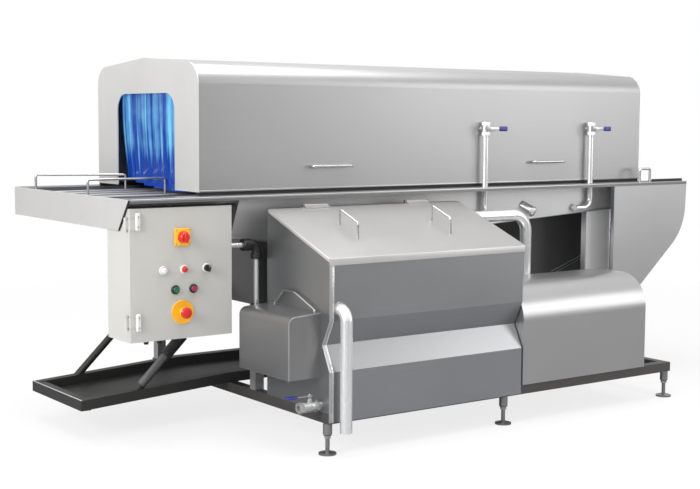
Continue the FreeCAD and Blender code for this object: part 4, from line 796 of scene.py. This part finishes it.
# %% [markdown]
# A short capped stub leans out of the trough's wall beside the pump pipe: a neck, a rolled edge and a domed
# cap. It is turned upright and then leaned.

# %% Trough stub
lean = (
    Matrix.Translation((0.540, -0.200, 0.834)) @ Matrix.Rotation(math.radians(34), 4, "Z")
    @ Matrix.Rotation(math.radians(118), 4, "X")
)
shape = Shape("pipe")
shape.lathe(
    [(0, -0.012), (0.0225, -0.012), (0.0225, 0.040), (0.0250, 0.043), (0.0250, 0.050), (0.0215, 0.056), (0.0120, 0.060), (0, 0.061)],
    (0, 0, 0), "Z", "pipe", 44, lean,
)
shape.settle("trough_stub", "machine")

# %% [markdown]
# Collars and nuts: where the overflow pipe, the pump pipe and the rinse pipes meet a sheet there is a welded
# collar, and each levelling foot has a lock nut on its spindle, turned down from the boss.

# %% Collars and nuts
shape = Shape("weld", "nut")
shape.lathe(ringed(0.0220, 0.0275, -0.0035, 0.0, 0.0015), (-0.838, -0.710, 0.537), "Y", "weld", 48)
shape.lathe(ringed(0.0245, 0.0300, 0.0, 0.0045, 0.0015), (0.064, -0.350, 0.812), "X", "weld", 48)
for x, z in ((0.288, 0.780), (0.848, 0.818)):
    shape.lathe(ringed(0.0125, 0.0175, -0.0035, 0.0, 0.0012), (x, -0.200, z), "Y", "weld", 40)
for y in (-0.685, 0.652):
    for x in (-0.872, -0.008, 0.953):
        shape.lathe(ringed(0.0078, 0.0130, 0.0600, 0.0700, 0.001), (x, y, 0), "Z", "nut", 6)
        shape.lathe(ringed(0.0078, 0.0150, 0.0700, 0.0722, 0.0005), (x, y, 0), "Z", "nut", 28)
shape.settle("collars_and_nuts", "machine")

# %% [markdown]
# The front strut is a tube with a thick black sleeve over its upper part. Both are turned about an upright
# axis and then leaned to the strut's angle.

# %% Strut sleeves
shape = Shape("sleeve", "black")
lean = Matrix.Translation((-1.300, 0.020, 0.155)) @ Matrix.Rotation(math.radians(46), 4, "Y")
shape.lathe(ringed(0.0152, 0.0168, 0.040, 0.195, 0.0006), (0, 0, 0), "Z", "sleeve", 32, lean)
shape.lathe(ringed(0.0160, 0.0225, 0.195, 0.300, 0.002), (0, 0, 0), "Z", "black", 32, lean)
shape.lathe(ringed(0.0160, 0.0250, 0.190, 0.202, 0.001), (0, 0, 0), "Z", "black", 6, lean)
shape.settle("strut_sleeve", "machine")

# %% [markdown]
# The studio is a pale floor under a white sky. The floor turns white for the camera with distance, so that it
# has no edge, and keeps the soft shadow near the machine.

# %% Studio
FLOOR = 40.0
world = bpy.data.worlds.new("studio")
bpy.context.scene.world = world
world.use_nodes = True
sky = world.node_tree
ray = sky.nodes.new("ShaderNodeLightPath")
seen = sky.nodes.new("ShaderNodeMath")
seen.operation = "MAXIMUM"
sky.links.new(ray.outputs["Is Camera Ray"], seen.inputs[0])
either = sky.nodes.new("ShaderNodeMath")
either.operation = "MAXIMUM"
sky.links.new(ray.outputs["Is Glossy Ray"], either.inputs[0])
sky.links.new(ray.outputs["Is Transmission Ray"], either.inputs[1])
sky.links.new(either.outputs[0], seen.inputs[1])
where = sky.nodes.new("ShaderNodeTexCoord")
height = sky.nodes.new("ShaderNodeSeparateXYZ")
sky.links.new(where.outputs["Generated"], height.inputs[0])
rising = sky.nodes.new("ShaderNodeMapRange")
for key, value in {1: -0.05, 2: 0.75, 3: 0.42, 4: 1.0}.items():
    rising.inputs[key].default_value = value
sky.links.new(height.outputs["Z"], rising.inputs[0])
level = sky.nodes.new("ShaderNodeMath")
level.operation = "MAXIMUM"
sky.links.new(rising.outputs[0], level.inputs[0])
sky.links.new(ray.outputs["Is Camera Ray"], level.inputs[1])
tint = sky.nodes.new("ShaderNodeCombineColor")
for channel in range(3):
    sky.links.new(level.outputs[0], tint.inputs[channel])
plain = sky.nodes["Background"]
plain.inputs["Color"].default_value = (1, 1, 1, 1)
plain.inputs["Strength"].default_value = 0.55
shown = sky.nodes.new("ShaderNodeBackground")
sky.links.new(tint.outputs[0], shown.inputs["Color"])
shown.inputs["Strength"].default_value = 1.0
blend = sky.nodes.new("ShaderNodeMixShader")
sky.links.new(seen.outputs[0], blend.inputs[0])
sky.links.new(plain.outputs[0], blend.inputs[1])
sky.links.new(shown.outputs[0], blend.inputs[2])
sky.links.new(blend.outputs[0], sky.nodes["World Output"].inputs["Surface"])

floor_finish = Finish("floor_paint", Roughness=0.9)
mirrored = floor_finish.node("LightPath", output="Is Glossy Ray")
floor_finish.set(Base_Color=floor_finish.mix(mirrored, (0.8, 0.8, 0.8, 1), (0.27, 0.27, 0.28, 1)))
camera_ray = floor_finish.node("LightPath", output="Is Camera Ray")
far = floor_finish.node("VectorMath", {0: floor_finish.place()}, output="Value", operation="LENGTH")
fade = floor_finish.spread(far, 1.5, 5.0, 0.8, 1.0)
glow = floor_finish.node("Emission", {"Color": (1, 1, 1, 1), "Strength": 1.0})
mixed = floor_finish.node("MixShader", {0: camera_ray * fade, 1: Wire(floor_finish, floor_finish.shader.outputs[0]), 2: glow})
floor_finish.tree.links.new(mixed.socket, floor_finish.tree.nodes["Material Output"].inputs["Surface"])

sheet_mesh = bmesh.new()
bmesh.ops.create_grid(sheet_mesh, x_segments=1, y_segments=1, size=FLOOR)
floor_mesh = bpy.data.meshes.new("floor")
sheet_mesh.to_mesh(floor_mesh)
floor = bpy.data.objects.new("floor", floor_mesh)
floor_mesh.materials.append(floor_finish.material)
bpy.context.scene.collection.objects.link(floor)


def lamp(name, place, target, size, energy):
    data = bpy.data.lights.new(name, "AREA")
    data.shape, data.size, data.energy = "SQUARE", size, energy
    made = bpy.data.objects.new(name, data)
    bpy.context.scene.collection.objects.link(made)
    made.location = place
    made.rotation_euler = (Vector(target) - Vector(place)).to_track_quat("-Z", "Y").to_euler()


MIDDLE = (0, 0, 0.9)
lamp("overhead", (-0.5, -0.2, 4.2), MIDDLE, 4.0, 210)
lamp("key_left", (-5.6, -1.5, 2.6), MIDDLE, 2.5, 230)
lamp("fill_right", (4.2, -4.4, 2.2), MIDDLE, 3.0, 62)
bpy.context.scene.view_settings.view_transform = "Standard"
